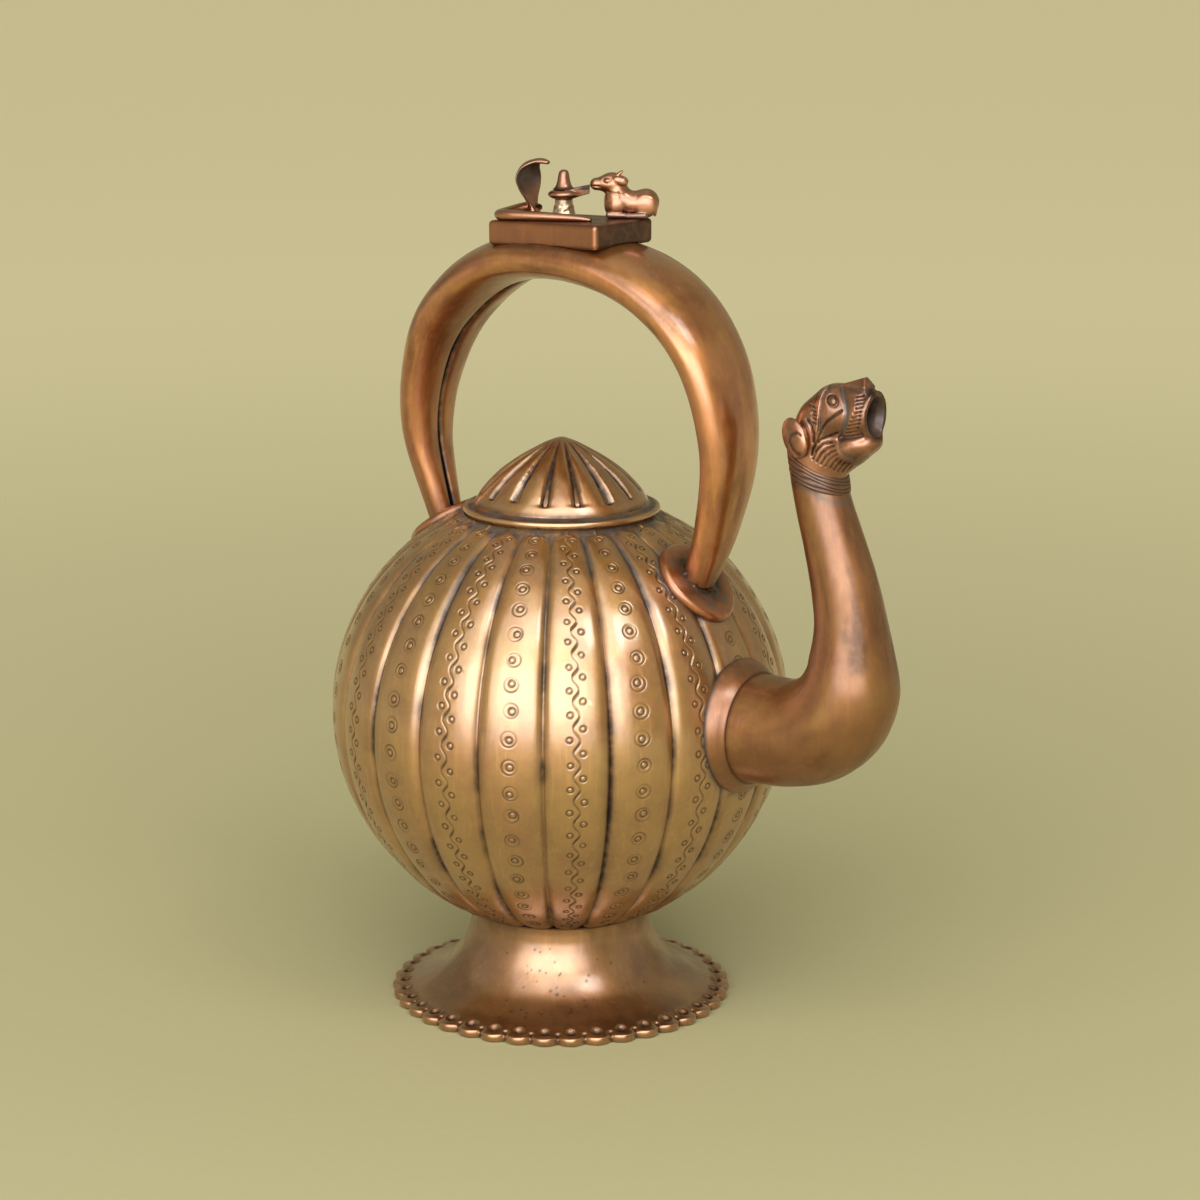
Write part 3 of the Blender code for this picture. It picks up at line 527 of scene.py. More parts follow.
def bulb_piece(name, lobes, s_lo, s_hi, nodes):
    rows = int(round((s_hi - s_lo) / 0.00195))
    nc = CELLS * len(lobes)
    # which cells carry a stroke
    flag = np.zeros((nc, rows), dtype=bool)
    fr = (np.arange(5) + 0.5) / 5
    for li, k in enumerate(lobes):
        ti = (T_NODE[:-1, None] + np.diff(T_NODE)[:, None] * fr[None]).ravel()
        sj = s_lo + (s_hi - s_lo) * (np.arange(rows)[:, None] + fr[None]).ravel() / rows
        T, Sg = np.meshgrid(ti, sj, indexing='ij')
        r = np.interp(Sg, SS, RR)
        _, near, _ = stamp((T * r * math.pi / LOBES * 1000).ravel(), (Sg * 1000).ravel(), k)
        near = near.reshape(CELLS, 5, rows, 5).min(axis=(1, 3))
        flag[li * CELLS:(li + 1) * CELLS] = near < 0.42
    n = SUB
    I, J = np.meshgrid(np.arange(nc * n + 1), np.arange(rows * n + 1), indexing='ij')
    keep = (I % n == 0) & (J % n == 0)
    fi, fj = np.nonzero(flag)
    sub = np.zeros_like(keep)
    for a in range(n + 1):
        for b in range(n + 1):
            sub[fi * n + a, fj * n + b] = True
    keep |= sub
    ids = np.full(keep.shape, -1, dtype=np.int64)
    ids[keep] = np.arange(keep.sum())
    Ik, Jk = I[keep], J[keep]
    # fine column -> lobe coordinate
    ci = np.minimum(Ik // n, nc - 1)
    frac = (Ik - ci * n) / n
    li = ci // CELLS
    cc = ci % CELLS
    t = T_NODE[cc] + (T_NODE[cc + 1] - T_NODE[cc]) * frac
    s = s_lo + (s_hi - s_lo) * Jk / (rows * n)
    r = np.interp(s, SS, RR)
    z = np.interp(s, SS, ZZ)
    nr, nz = np.interp(s, SS, _dz), -np.interp(s, SS, _dr)
    kk = np.asarray(lobes)[li]
    theta = (kk + 0.5 * t) * TAU / LOBES
    push = lobe_shape(t, s, r)
    w = r * math.pi / LOBES
    dark = np.zeros(len(t))
    for q, k in enumerate(lobes):
        m = li == q
        cut, _, dk = stamp((t[m] * w[m]) * 1000, s[m] * 1000, k)
        push[m] += cut * 0.001
        dark[m] = dk
    wob = np.stack([np.cos(theta) * r, np.sin(theta) * r, z], -1)
    push += (fbm(wob, 55.0, 3) - 0.5) * 0.00022
    rad = r - push * nr
    zz = z - push * nz
    V = np.stack([rad * np.cos(theta), rad * np.sin(theta), zz], -1)
    dist = (1.0 - np.abs(t)) * w * 1000
    vary = fbm(wob, 70.0, 9)
    groove = np.exp(-(dist / (0.50 + 0.60 * vary)) ** 2) * (0.30 + 0.50 * vary)
    # flank: painted shade, a wide darkening down each lobe's sides towards the grooves
    flank = np.exp(-(dist / 2.9) ** 2) * 0.54 * smooth(vary, 0.36, 0.72)
    fade = smooth(S_END - s, 0.0, 0.014)
    dark = np.clip(np.maximum(dark, groove) + flank, 0, 1)
    dark *= 0.35 + 0.65 * fade
    # painted shade: the lowest lobes, under the bulb's belly and over the foot, are darkened
    dark = np.clip(dark + 0.70 * (1.0 - smooth(s, 0.006, 0.034)) * (0.4 + 1.1 * vary), 0, 1)
    # solder smears: round the mouth, the plates and the spout collar
    arch = np.sqrt(np.clip(1.0 - (1.0 - np.clip((S_END - s - 0.0035) / 0.0065, 0.0, 1.0)) ** 2, 0.0, 1.0))
    valley = smooth((np.abs(t) - arch) * w, -0.0007, 0.0006) * (S_END - s < 0.0125)
    streak = np.exp(-(dist / (0.7 + 1.3 * smooth(s, S_END - 0.060, S_END - 0.010))) ** 2) * smooth(s, S_END - 0.075, S_END - 0.012) * smooth(vary, 0.35, 0.6)
    grey = np.maximum(valley * (0.75 + 0.6 * fbm(wob, 160.0, 5)), 0.75 * streak)
    grey = np.maximum(grey, smooth(s, S_END - 0.0048, S_END - 0.0016) * (0.55 + 0.7 * fbm(wob, 200.0, 7)))
    for c, rr_, wid in PADS:
        d = np.linalg.norm(V - np.asarray(c), axis=1)
        grey = np.maximum(grey, np.exp(-((d - rr_) / wid) ** 2) * (0.6 + 0.6 * fbm(wob, 220.0, 6)) * (d > rr_ - 2 * wid))
    # painted highlight: a light line along each side of the grooves
    wear_and_highlight = np.exp(-((dist - 1.55) / 0.55) ** 2) * 0.40 * smooth(vary, 0.30, 0.6)
    # faces
    quads = []
    a, b = np.meshgrid(np.arange(n), np.arange(n), indexing='ij')
    A = (fi[:, None] * n + a.ravel()[None]).ravel()
    B = (fj[:, None] * n + b.ravel()[None]).ravel()
    quads.append(np.stack([ids[A, B], ids[A + 1, B], ids[A + 1, B + 1], ids[A, B + 1]], -1))
    pad = np.pad(flag, 1)
    nb = np.stack([pad[1:-1, :-2], pad[2:, 1:-1], pad[1:-1, 2:], pad[:-2, 1:-1]], -1)      # low row, high col, high row, low col
    plain = ~flag & ~nb.any(-1)
    pi, pj = np.nonzero(plain)
    quads.append(np.stack([ids[pi * n, pj * n], ids[pi * n + n, pj * n], ids[pi * n + n, pj * n + n], ids[pi * n, pj * n + n]], -1))
    by_len = {}
    for i, j in zip(*np.nonzero(~flag & nb.any(-1))):
        f = nb[i, j]
        loop = []
        i0, j0 = i * n, j * n
        loop += [ids[i0 + x, j0] for x in (range(n) if f[0] else (0,))]
        loop += [ids[i0 + n, j0 + x] for x in (range(n) if f[1] else (0,))]
        loop += [ids[i0 + n - x, j0 + n] for x in (range(n) if f[2] else (0,))]
        loop += [ids[i0, j0 + n - x] for x in (range(n) if f[3] else (0,))]
        by_len.setdefault(len(loop), []).append(loop)
    quads += [np.array(v) for v in by_len.values()]
    return make(name, V, quads, "vessel", nodes, M_BODY,
                {"dark": dark, "grey": np.clip(grey, 0, 1), "wear_and_highlight": wear_and_highlight, "crevice_patina_and_shade": np.zeros(len(V))}, curve=False)


def bulb_point(x_sign, z):
    r = float(bulb_r(z))
    s = float((bulb_r(z + 0.0005) - bulb_r(z - 0.0005)) / 0.001)
    n = np.array([x_sign, 0.0, -s])
    return np.array([x_sign * r, 0.0, z]), n / np.linalg.norm(n)


PLATES = {"front": bulb_point(1.0, 0.1722), "rear": bulb_point(-1.0, 0.1805)}
SPOUT_Z = 0.1192
PADS = [(PLATES["front"][0], 0.0172, 0.0011), (PLATES["rear"][0], 0.0172, 0.0011),
        ((0.0845, 0.0, SPOUT_Z), 0.0247, 0.0012)]

for tag, ks in (("a", range(-10, -2)), ("b", range(-2, 5)), ("c", range(5, 12))):
    ks = [k % LOBES for k in ks]
    bulb_piece("bulb_upper_" + tag, ks, S_SEAM, S_END, ["bowl_upper"])
    bulb_piece("bulb_lower_" + tag, ks, 0.0, S_SEAM, ["bowl_lower"])

# inside of the bulb, its rolled mouth and its floor
ins = [(0.0363, 0.1912), (0.0358, 0.1906), (0.0358, 0.1890)]
for z in np.linspace(0.1865, 0.0405, 40):
    r = float(bulb_r(z))
    s = float((bulb_r(z + 0.0004) - bulb_r(z - 0.0004)) / 0.0008)
    k = 0.0034 / math.hypot(1, s)
    ins.append((r - k, z + k * s))
ins += [(0.0365, 0.0394), (0.0200, 0.0389), (0.0004, 0.0388)]
P = revolve(ins, 132)
make("bulb_inside", P.reshape(-1, 3), [grid_faces(132, len(ins), True, False, 0, False)], "vessel", ["bowl_upper", "bowl_lower"],
     M_BODY, {"dark": np.full(P.shape[0] * P.shape[1], 0.35)})
under = [(0.0366, 0.0362), (0.0365, 0.0357), (0.0352, 0.0358), (0.0200, 0.0360), (0.0004, 0.0361)]
P = revolve(under, 132)
make("bulb_floor", P.reshape(-1, 3), [grid_faces(132, len(under), True, False, 0, True)], "vessel", ["bowl_lower"],
     M_BODY, {"dark": np.full(P.shape[0] * P.shape[1], 0.7)})

# ------------------------------------------------------------------ foot
SCAL = 39
FOOT_PHASE = math.radians(-53.8 - 23.5)
outer = dense([(0.0350, 0.0361), (0.0346, 0.0340), (0.0346, 0.0318), (0.0350, 0.0285), (0.0364, 0.0240), (0.0394, 0.0180),
               (0.0452, 0.0112), (0.0530, 0.0064), (0.0590, 0.0042), (0.0630, 0.0034), (0.0651, 0.0031)], 0.0007)
rim = [(0.0656, 0.0029), (0.06585, 0.0025), (0.0659, 0.0010), (0.0656, 0.0002), (0.0649, 0.0), (0.0615, 0.0), (0.0600, 0.0003)]
inner = dense([(0.0585, 0.0012), (0.0530, 0.0036), (0.0442, 0.0088), (0.0378, 0.0155), (0.0342, 0.0235), (0.0326, 0.0352)], 0.0016)
prof = np.vstack([outer, rim, inner])
steps = SCAL * 16


def foot_warp(T, r, z):
    a = ((T - FOOT_PHASE) * SCAL / TAU + 0.5) % 1.0 - 0.5          # 0 at a petal's middle
    petal = 1.0 - (2.0 * np.abs(a)) ** 2.0
    zone = smooth(r, 0.0600, 0.0640)
    out_side = (np.arange(prof.shape[0]) < len(outer) + 3)[None, :]
    r2 = r - zone * 0.0027 * (1.0 - petal)
    notch = zone * 0.0007 * (2 * np.abs(a)) ** 6
    z2 = z - np.where(out_side, notch, 0.0)
    arc = a * TAU / SCAL * 0.0612
    d = np.hypot(arc, r - 0.0607)
    pit = np.exp(-(d / 0.00195) ** 4) * 0.0014
    lip = np.exp(-((d - 0.0026) / 0.00055) ** 2) * 0.00018
    z2 = z2 + np.where(out_side, lip - pit, 0.0)
    return r2, np.maximum(z2, np.where(r > 0.0595, 0.0, -1.0))


P = revolve(prof, steps, foot_warp)
T = np.broadcast_to((np.arange(steps) * TAU / steps)[:, None], P.shape[:2])
R0 = np.broadcast_to(prof[:, 0], P.shape[:2])
a = ((T - FOOT_PHASE) * SCAL / TAU + 0.5) % 1.0 - 0.5
d = np.hypot(a * TAU / SCAL * 0.0612, R0 - 0.0607)
top_side = np.broadcast_to(np.arange(len(prof)) < len(outer) + 2, R0.shape)
dark = np.exp(-(d / 0.0022) ** 4) * top_side
dark = np.maximum(dark, 0.34 * smooth(fbm(P.reshape(-1, 3), 46.0, 31), 0.42, 0.64).reshape(R0.shape) * (1 - smooth(R0, 0.0560, 0.0600)))
neck = np.exp(-((P[..., 2].max() - P[..., 2]) / 0.0080) ** 2) * smooth(fbm(P.reshape(-1, 3), 90.0, 33), 0.30, 0.62).reshape(R0.shape)
dark = np.maximum(dark, 0.60 * neck)
# painted shade in the notches between the rim's petals
dark = np.maximum(dark, 0.85 * (2 * np.abs(a)) ** 7 * smooth(R0, 0.0610, 0.0640))
dark = np.maximum(dark, 0.55 * smooth(R0, 0.0575, 0.0605) * (1 - smooth(R0, 0.0615, 0.0645)) * top_side * (0.5 + 0.5 * (np.abs(a) * 2) ** 2))
dark = np.maximum(dark, np.exp(-((P[..., 2] - 0.0364) / 0.0009) ** 2) * (R0 < 0.036))
under_side = np.broadcast_to(np.arange(len(prof)) >= len(outer) + 5, R0.shape)
dark = np.where(under_side, 0.6, dark)
# casting pores on the flare
pv = P.reshape(-1, 3)
cell = np.floor(pv * np.array([420.0, 420.0, 420.0]))
rngf = np.random.default_rng(5)
pores = []
for _ in range(46):
    th = math.radians(-53.8) + rngf.normal(0, 0.34)
    q = rngf.integers(12, len(outer) - 14)
    pores.append((outer[q, 0] * math.cos(th), outer[q, 0] * math.sin(th), outer[q, 1], rngf.uniform(0.00025, 0.0006)))
pd = np.zeros(len(pv))
for x, y, z, rad in pores:
    d2 = np.linalg.norm(pv - np.array([x, y, z]), axis=1)
    pd = np.maximum(pd, np.exp(-(d2 / rad) ** 2))
dark = np.clip(dark.ravel() + 0.9 * pd, 0, 1)
# painted highlight along the rim's outer edge
wear_and_highlight = (np.exp(-((R0 - 0.0652) / 0.0007) ** 2) * 0.45).ravel()
make("foot_flare", P.reshape(-1, 3), [grid_faces(steps, len(prof), True, False, 0, True)], "vessel", ["foot"], M_FOOT,
     {"dark": dark, "wear_and_highlight": wear_and_highlight, "grey": np.zeros(len(pv))})

# ------------------------------------------------------------------ neck ring and lid
def ring_piece(name, prof_, n, body, nodes, mat, attrs=None, warp=None):
    P_ = revolve(prof_, n, warp)
    return make(name, P_.reshape(-1, 3), [grid_faces(n, len(prof_), True, True, 0, True)], body, nodes, mat, attrs)


ring_piece("neck_ring", [(0.0355, 0.1910), (0.0357, 0.1906), (0.0357, 0.1826), (0.0334, 0.1826), (0.0332, 0.1830), (0.0332, 0.1906), (0.0335, 0.1910)],
           128, "vessel", ["mouth_collar"], M_BODY)
brim = dense([(0.0329, 0.1943), (0.0337, 0.1938), (0.0347, 0.1933), (0.0356, 0.1930), (0.0361, 0.1931), (0.0366, 0.1933), (0.0371, 0.1930),
              (0.0374, 0.1924), (0.0374, 0.1917), (0.0370, 0.1912), (0.0364, 0.1912), (0.0340, 0.1913), (0.0298, 0.1913), (0.0297, 0.1934), (0.0310, 0.1941)], 0.00038)
n = 192
SEAT = np.array([0.00065, 0.00047, 0.0])          # the lid sits a little off the axis
P = revolve(brim, n) + SEAT
R0 = np.broadcast_to(brim[:, 0], P.shape[:2]).ravel()
Z0 = np.broadcast_to(brim[:, 1], P.shape[:2]).ravel()
vary = fbm(P.reshape(-1, 3), 140.0, 4)
dark = np.exp(-((R0 - 0.0345) / 0.0016) ** 2) * (Z0 > 0.1925) * (0.55 + 0.6 * vary)
grey = np.exp(-((R0 - 0.0345) / 0.0018) ** 2) * (Z0 > 0.1925) * smooth(vary, 0.35, 0.65)
under = ((R0 > 0.0350) & (Z0 < 0.1911)).astype(float) * 0.6
make("lid_bead_brim", P.reshape(-1, 3), [grid_faces(n, len(brim), True, True, 0, True)], "lid", ["lid_brim"], M_LID,
     {"dark": np.clip(np.maximum(dark, under), 0, 1), "grey": np.clip(grey, 0, 1),
      "wear_and_highlight": np.exp(-((R0 - 0.0372) / 0.0007) ** 2) * (Z0 > 0.1922)})

FL = 15
FL_PHASE = math.radians(-53.3)              # a rib faces this way
dome = dense([(0.0003, 0.21895), (0.0018, 0.2187), (0.0042, 0.2178), (0.0079, 0.2161), (0.0158, 0.2117), (0.0227, 0.2068),
              (0.0276, 0.2021), (0.0309, 0.1981), (0.0327, 0.1951), (0.0331, 0.1940)], 0.00032)
n = FL * 26
arc = np.r_[0, np.cumsum(np.linalg.norm(np.diff(dome, axis=0), axis=1))]
nrm = np.stack([np.gradient(dome[:, 1], arc), -np.gradient(dome[:, 0], arc)], -1) * -1.0


def flute(T, r):
    a = ((T - FL_PHASE) * FL / TAU) % 1.0 - 0.5                    # 0 in a flute's middle
    kf = np.floor((T - FL_PHASE) * FL / TAU)
    jit = 0.5 + 0.5 * np.sin(kf * 12.9898) * np.cos(kf * 4.1)
    d = np.abs(a) * TAU / FL * np.maximum(r, 1e-4)
    start, stop = 0.0030 + 0.0012 * jit, 0.0313 - 0.0012 * jit
    wid = 0.00045 + 0.00100 * smooth(r, 0.004, 0.028)
    on = smooth(r, start - 0.001, start + 0.004) * (1 - smooth(r, stop - 0.0006, stop + 0.0005))
    pz_ = np.stack([r * np.cos(T), r * np.sin(T), 0 * r], -1)
    wid = wid * (0.78 + 0.55 * fbm(pz_.reshape(-1, 3), 420.0, 19).reshape(r.shape))
    return np.exp(-(d / wid) ** 3) * on, a, on


T = np.broadcast_to((np.arange(n) * TAU / n)[:, None], (n, len(dome)))
R0 = np.broadcast_to(dome[:, 0], T.shape)
f, a, on = flute(T, R0)
depth = f * (0.0003 + 0.0009 * smooth(R0, 0.005, 0.027)) + 0.0008 * (1 - 2 * np.abs(a)) ** 2 * on * smooth(R0, 0.004, 0.02)
base = revolve(dome, n)
ca, sa = np.cos(T), np.sin(T)
P = base.copy()
P[..., 0] -= depth * nrm[None, :, 0] * ca
P[..., 1] -= depth * nrm[None, :, 0] * sa
P[..., 2] -= depth * nrm[None, :, 1]
P = P + SEAT
pv = P.reshape(-1, 3)
vary = fbm(pv, 170.0, 8)
dark = f.ravel() * (0.72 + 0.40 * vary)
dark = np.maximum(dark, 0.9 * smooth(-pv[:, 2], -0.1966, -0.1944) * (0.4 + 0.8 * vary))
black = (f * smooth(R0, 0.0240, 0.0285)).ravel() * smooth(vary, 0.34, 0.52)
grey = (f.ravel() * 0.42 * smooth(fbm(pv, 110.0, 2), 0.42, 0.62))
inner = [(0.0302, 0.1939), (0.0300, 0.1962), (0.0280, 0.1992), (0.0248, 0.2024), (0.0204, 0.2060), (0.0140, 0.2104), (0.0070, 0.2142), (0.0003, 0.2168)]
Pi = revolve(inner, n) + SEAT
Vall = np.vstack([pv, Pi.reshape(-1, 3)])
k0 = len(pv)
nd, ni = len(dome), len(inner)
i = np.arange(n)
lipq = np.stack([i * nd + nd - 1, ((i + 1) % n) * nd + nd - 1, k0 + ((i + 1) % n) * ni, k0 + i * ni], -1)
z_ = np.zeros(len(Pi.reshape(-1, 3)))
make("lid_fluted_dome", Vall, [grid_faces(n, nd, True, False, 0, True), grid_faces(n, ni, True, False, k0, True), lipq[:, ::-1]], "lid", ["lid_dome"],
     M_LID, {"dark": np.r_[np.clip(dark, 0, 1), z_ + 0.5], "black": np.r_[0.85 * black, z_], "grey": np.r_[np.clip(grey, 0, 1), z_]})
ring_piece("lid_plug_sleeve", dense([(0.0328, 0.1911), (0.0328, 0.1870), (0.0327, 0.1802), (0.0322, 0.1796), (0.0315, 0.1799), (0.0313, 0.1810), (0.0313, 0.1911)], 0.0012),
           128, "lid", ["lid_sleeve"], M_BODY)

# ------------------------------------------------------------------ spout
ELBOW = (0.1056, 0.1545)
rows = [(0.0850, 0.1195, 3.0, 0.0204), (0.0884, 0.1197, 3.0, 0.0203), (0.0960, 0.1202, 3.0, 0.0201)]
for deg, nearr, rad in ((-90, 0.0140, 0.0199), (-68, 0.0126, 0.0197), (-46, 0.0114, 0.0192),
                        (-23, 0.0105, 0.0176), (0, 0.0100, 0.0151)):
    q = math.radians(deg)
    rows.append((ELBOW[0] + (nearr + rad) * math.cos(q), ELBOW[1] + (nearr + rad) * math.sin(q), deg + 92.0, rad))
rows += [(0.1299, 0.1655, 97.0, 0.0131), (0.1273, 0.1775, 105.0, 0.0121), (0.1231, 0.1912, 108.0, 0.0111),
         (0.1187, 0.2040, 109.0, 0.0103), (0.1153, 0.2155, 105.0, 0.0098), (0.1142, 0.2215, 100.0, 0.0097)]


def tube(rows_, n_sec, n_pts, shape=None, start=0.0):
    u = np.linspace(start, 1, n_sec)
    Q = rom(rows_, u)
    t = np.radians(Q[:, 2])
    C = np.stack([Q[:, 0], 0 * t, Q[:, 1]], -1)
    Nn = np.stack([-np.sin(t), 0 * t, np.cos(t)], -1)
    ph = np.arange(n_pts) * TAU / n_pts
    a_, b_ = Q[:, 3], (Q[:, 4] if Q.shape[1] > 4 else Q[:, 3])
    P_ = C[:, None] + Nn[:, None] * (a_[:, None] * np.cos(ph)[None])[..., None]
    P_ = P_ + np.array([0, 1.0, 0]) * (b_[:, None] * np.sin(ph)[None])[..., None]
    return P_, u, ph


P, u, ph = tube(rows, 150, 80)
ctr = P.mean(axis=1, keepdims=True)
dirs = P - ctr
rad = np.linalg.norm(dirs, axis=-1, keepdims=True)
nz = (fbm(P.reshape(-1, 3), 60.0, 12) - 0.5).reshape(P.shape[:2])
P = ctr + dirs * (1 + nz[..., None] * 0.0006 / rad)
inner_rows = [(x, z, t, r - 0.0016) for x, z, t, r in rows]
Pi, _, _ = tube(inner_rows, 40, 80)
V = np.vstack([P.reshape(-1, 3), Pi.reshape(-1, 3)])
k0, npt = P.shape[0] * 80, 80
i = np.arange(80)
top = np.stack([(P.shape[0] - 1) * 80 + i, (P.shape[0] - 1) * 80 + (i + 1) % 80, k0 + 39 * 80 + (i + 1) % 80, k0 + 39 * 80 + i], -1)
bot = np.stack([i, (i + 1) % 80, k0 + (i + 1) % 80, k0 + i], -1)
pv = P.reshape(-1, 3)
vary = fbm(pv, 45.0, 13)
root = np.exp(-((pv[:, 0] - 0.0904) / 0.0008) ** 2) * (pv[:, 2] < 0.1405) * 0.5
tip = smooth(pv[:, 2], 0.2115, 0.2150) * (pv[:, 0] < 0.13) * 0.5
low = 0.2185 - 0.41 * (pv[:, 0] - 0.1180) - 0.0046
blue = np.exp(-((pv[:, 2] - low + 0.0010) / 0.0014) ** 2)
grain_v = np.stack([np.repeat(u, 80) * 1.1, 0.34 * np.cos(np.tile(ph, len(u))), 0.34 * np.sin(np.tile(ph, len(u)))], -1)
gild = smooth(fbm(grain_v, 9.0, 15), 0.50, 0.72) * 0.75 + smooth(fbm(grain_v, 24.0, 16), 0.55, 0.75) * 0.30
dull = smooth(fbm(grain_v + 3.1, 7.0, 17), 0.50, 0.74) * 0.46
elbow_painted_highlight = 1.0 - smooth(pv[:, 2], 0.122, 0.156)                     # painted highlight: the elbow is painted brighter and the upright duller, for the light that falls on the elbow
gild = gild + 0.20 * elbow_painted_highlight
dull = dull * (1.0 - 0.35 * elbow_painted_highlight) + 0.11 * (1.0 - elbow_painted_highlight)
make("spout_elbow", V, [grid_faces(P.shape[0], 80, False, True), grid_faces(40, 80, False, True, k0, True), top, bot[:, ::-1]], "vessel", ["spout_tube"],
     M_SPOUT, {"dark": np.r_[np.clip(root + tip + dull, 0, 1), np.full(3200, 0.6)], "grey": np.r_[0.6 * blue, np.zeros(3200)],
                           "gild": np.r_[np.clip(gild, 0, 1), np.zeros(3200)]})

# bulging collar that hugs the bulb
n = 128
ps = np.arange(n) * TAU / n
sec = dense([(r_, x_, 0.01 * f_) for r_, x_, f_ in [(0.0246, -0.0007, 0), (0.0249, 0.0004, 0), (0.0247, 0.0015, 0.05), (0.0240, 0.0032, 0.30), (0.0231, 0.0049, 0.60),
             (0.0222, 0.0064, 0.88), (0.0215, 0.0075, 1.0), (0.0211, 0.0081, 1.0), (0.0207, 0.0084, 1.0), (0.0202, 0.0084, 1.0)]], 0.00035)
sec[:, 2] *= 100.0
yy, zs = np.cos(ps), np.sin(ps)
rows_c = []
for rr_, ax_, flat in sec:
    y = rr_ * yy
    z = SPOUT_Z + 0.0006 + rr_ * zs
    rb = bulb_r(np.clip(z, 0.04, 0.18))
    xb = np.sqrt(np.maximum(rb ** 2 - y ** 2, 0.0))
    x = (xb + ax_) * (1 - flat) + (0.0818 + ax_) * flat
    rows_c.append(np.stack([x, y, z], -1))
P = np.stack(rows_c)
ax_ = np.broadcast_to(sec[:, 1][:, None], P.shape[:2]).ravel()
rr_ = np.broadcast_to(sec[:, 0][:, None], P.shape[:2]).ravel()
vary = fbm(P.reshape(-1, 3), 120.0, 21)
dark = np.exp(-((ax_ + 0.0002) / 0.0009) ** 2) * 0.8 + np.exp(-((rr_ - 0.0206) / 0.0005) ** 2) * 0.55
grey = np.exp(-((ax_) / 0.0012) ** 2) * smooth(vary, 0.3, 0.6)
make("spout_root_collar", P.reshape(-1, 3), [grid_faces(len(sec), n, False, True)], "vessel", ["spout_collar"], M_SPOUT,
     {"dark": np.clip(dark, 0, 1), "grey": np.clip(grey, 0, 1)})

# wire-wrapped binding
n = 144
ph = np.arange(n) * TAU / n
cx, sx = np.cos(ph), np.sin(ph)
qs = np.r_[0.0, np.linspace(0, 1, 62), 1.0]
P = np.zeros((n, len(qs), 3))
dk = np.zeros((n, len(qs)))
for j, q in enumerate(qs):
    cap_end = j in (0, len(qs) - 1)
    phase = q * math.pi * 5.0 + 0.95 * np.sin(ph * 2.0 + 0.7) * math.sin(q * math.pi) + 0.60 * np.sin(ph * 5.0 + 9.0 * q) * math.sin(q * math.pi)
    bead = 0.00034 * np.abs(np.sin(phase)) ** 0.7
    r_ = np.full(n, 0.0096) if cap_end else 0.01035 + bead - 0.0005 * (abs(q - 0.5) * 2) ** 6
    dx = r_ * cx
    half = 0.00415 - 0.095 * dx
    z = 0.2185 - 0.40 * dx + (2 * q - 1) * half
    P[:, j] = np.stack([0.1156 - 0.16 * (z - 0.2185) + dx, r_ * sx, z], -1)
    dk[:, j] = 1 - np.abs(np.sin(phase)) ** 0.6
make("spout_wire_band", P.reshape(-1, 3), [grid_faces(n, len(qs), True, False, 0, False)], "vessel", ["spout_band"], M_SPOUT,
     {"dark": np.clip(0.36 + 0.7 * dk.ravel(), 0, 1), "grey": 0.50 * smooth(fbm(P.reshape(-1, 3), 130.0, 31), 0.45, 0.7)})


# ------------------------------------------------------------------ beast head
def side(u_, v_):
    """Flank drawing units to millimetres in the oblique plane of the flank."""
    return (94.76 + 0.06423 * u_, 255.67 - 0.05397 * v_ + 0.00684 * u_)


STRAP = [(455, 140), (462, 230), (474, 300), (478, 360), (468, 430), (455, 490), (446, 520)]
BROW = [(395, 158), (345, 205), (320, 260), (308, 330), (303, 400), (298, 470)]
RIDGE = [(366, 165), (322, 215), (298, 275), (288, 345), (284, 420), (280, 480)]
FLANK = [([(335, 180), (296, 225), (270, 290), (262, 360)], 0.30, 0.25),
         ([(222, 395), (250, 440), (262, 500), (266, 545)], 0.55, 0.55),
         ([(447, 335), (400, 370), (350, 410), (320, 455), (302, 500), (292, 540)], 0.38, 0.52),
         ([(428, 478), (370, 505), (320, 525), (280, 555), (262, 590), (256, 630)], 0.40, 0.55)]
FLANK += [([(a0, b0), (a1, b1)], 0.30, 0.42) for a0, b0, a1, b1 in (
    (243, 296, 280, 318), (247, 328, 282, 345), (252, 356, 282, 370), (256, 386, 280, 396), (254, 416, 276, 424))]
FLANK += [(q_, 0.30, 0.46) for q_ in (
    [(262, 655), (285, 600), (330, 560), (388, 540)], [(290, 672), (318, 618), (358, 580), (400, 566)],
    [(318, 688), (346, 640), (384, 606), (412, 596)], [(348, 702), (374, 658), (402, 634), (424, 622)],
    [(378, 714), (400, 678), (426, 652)], [(408, 722), (430, 690), (452, 664)], [(436, 730), (458, 698), (478, 676)],
    [(464, 734), (484, 706), (502, 686)], [(490, 738), (508, 712), (524, 694)])]
FLANK += [([(a0, b0), (a1, b1)], 0.34, 0.44) for a0, b0, a1, b1 in (
    (545, 240, 590, 233), (540, 266, 596, 257), (540, 292, 598, 281), (534, 322, 592, 307), (522, 354, 586, 339), (510, 386, 580, 366),
    (500, 412, 573, 395), (492, 437, 563, 421), (486, 460, 555, 446), (480, 482, 546, 469))]
LIP_LINE = [(448, 508), (500, 508), (560, 498), (622, 484)]
EYE = side(385, 270)
HOOK = [(172, 504), (144, 488), (110, 504), (104, 550), (126, 598), (168, 632)]


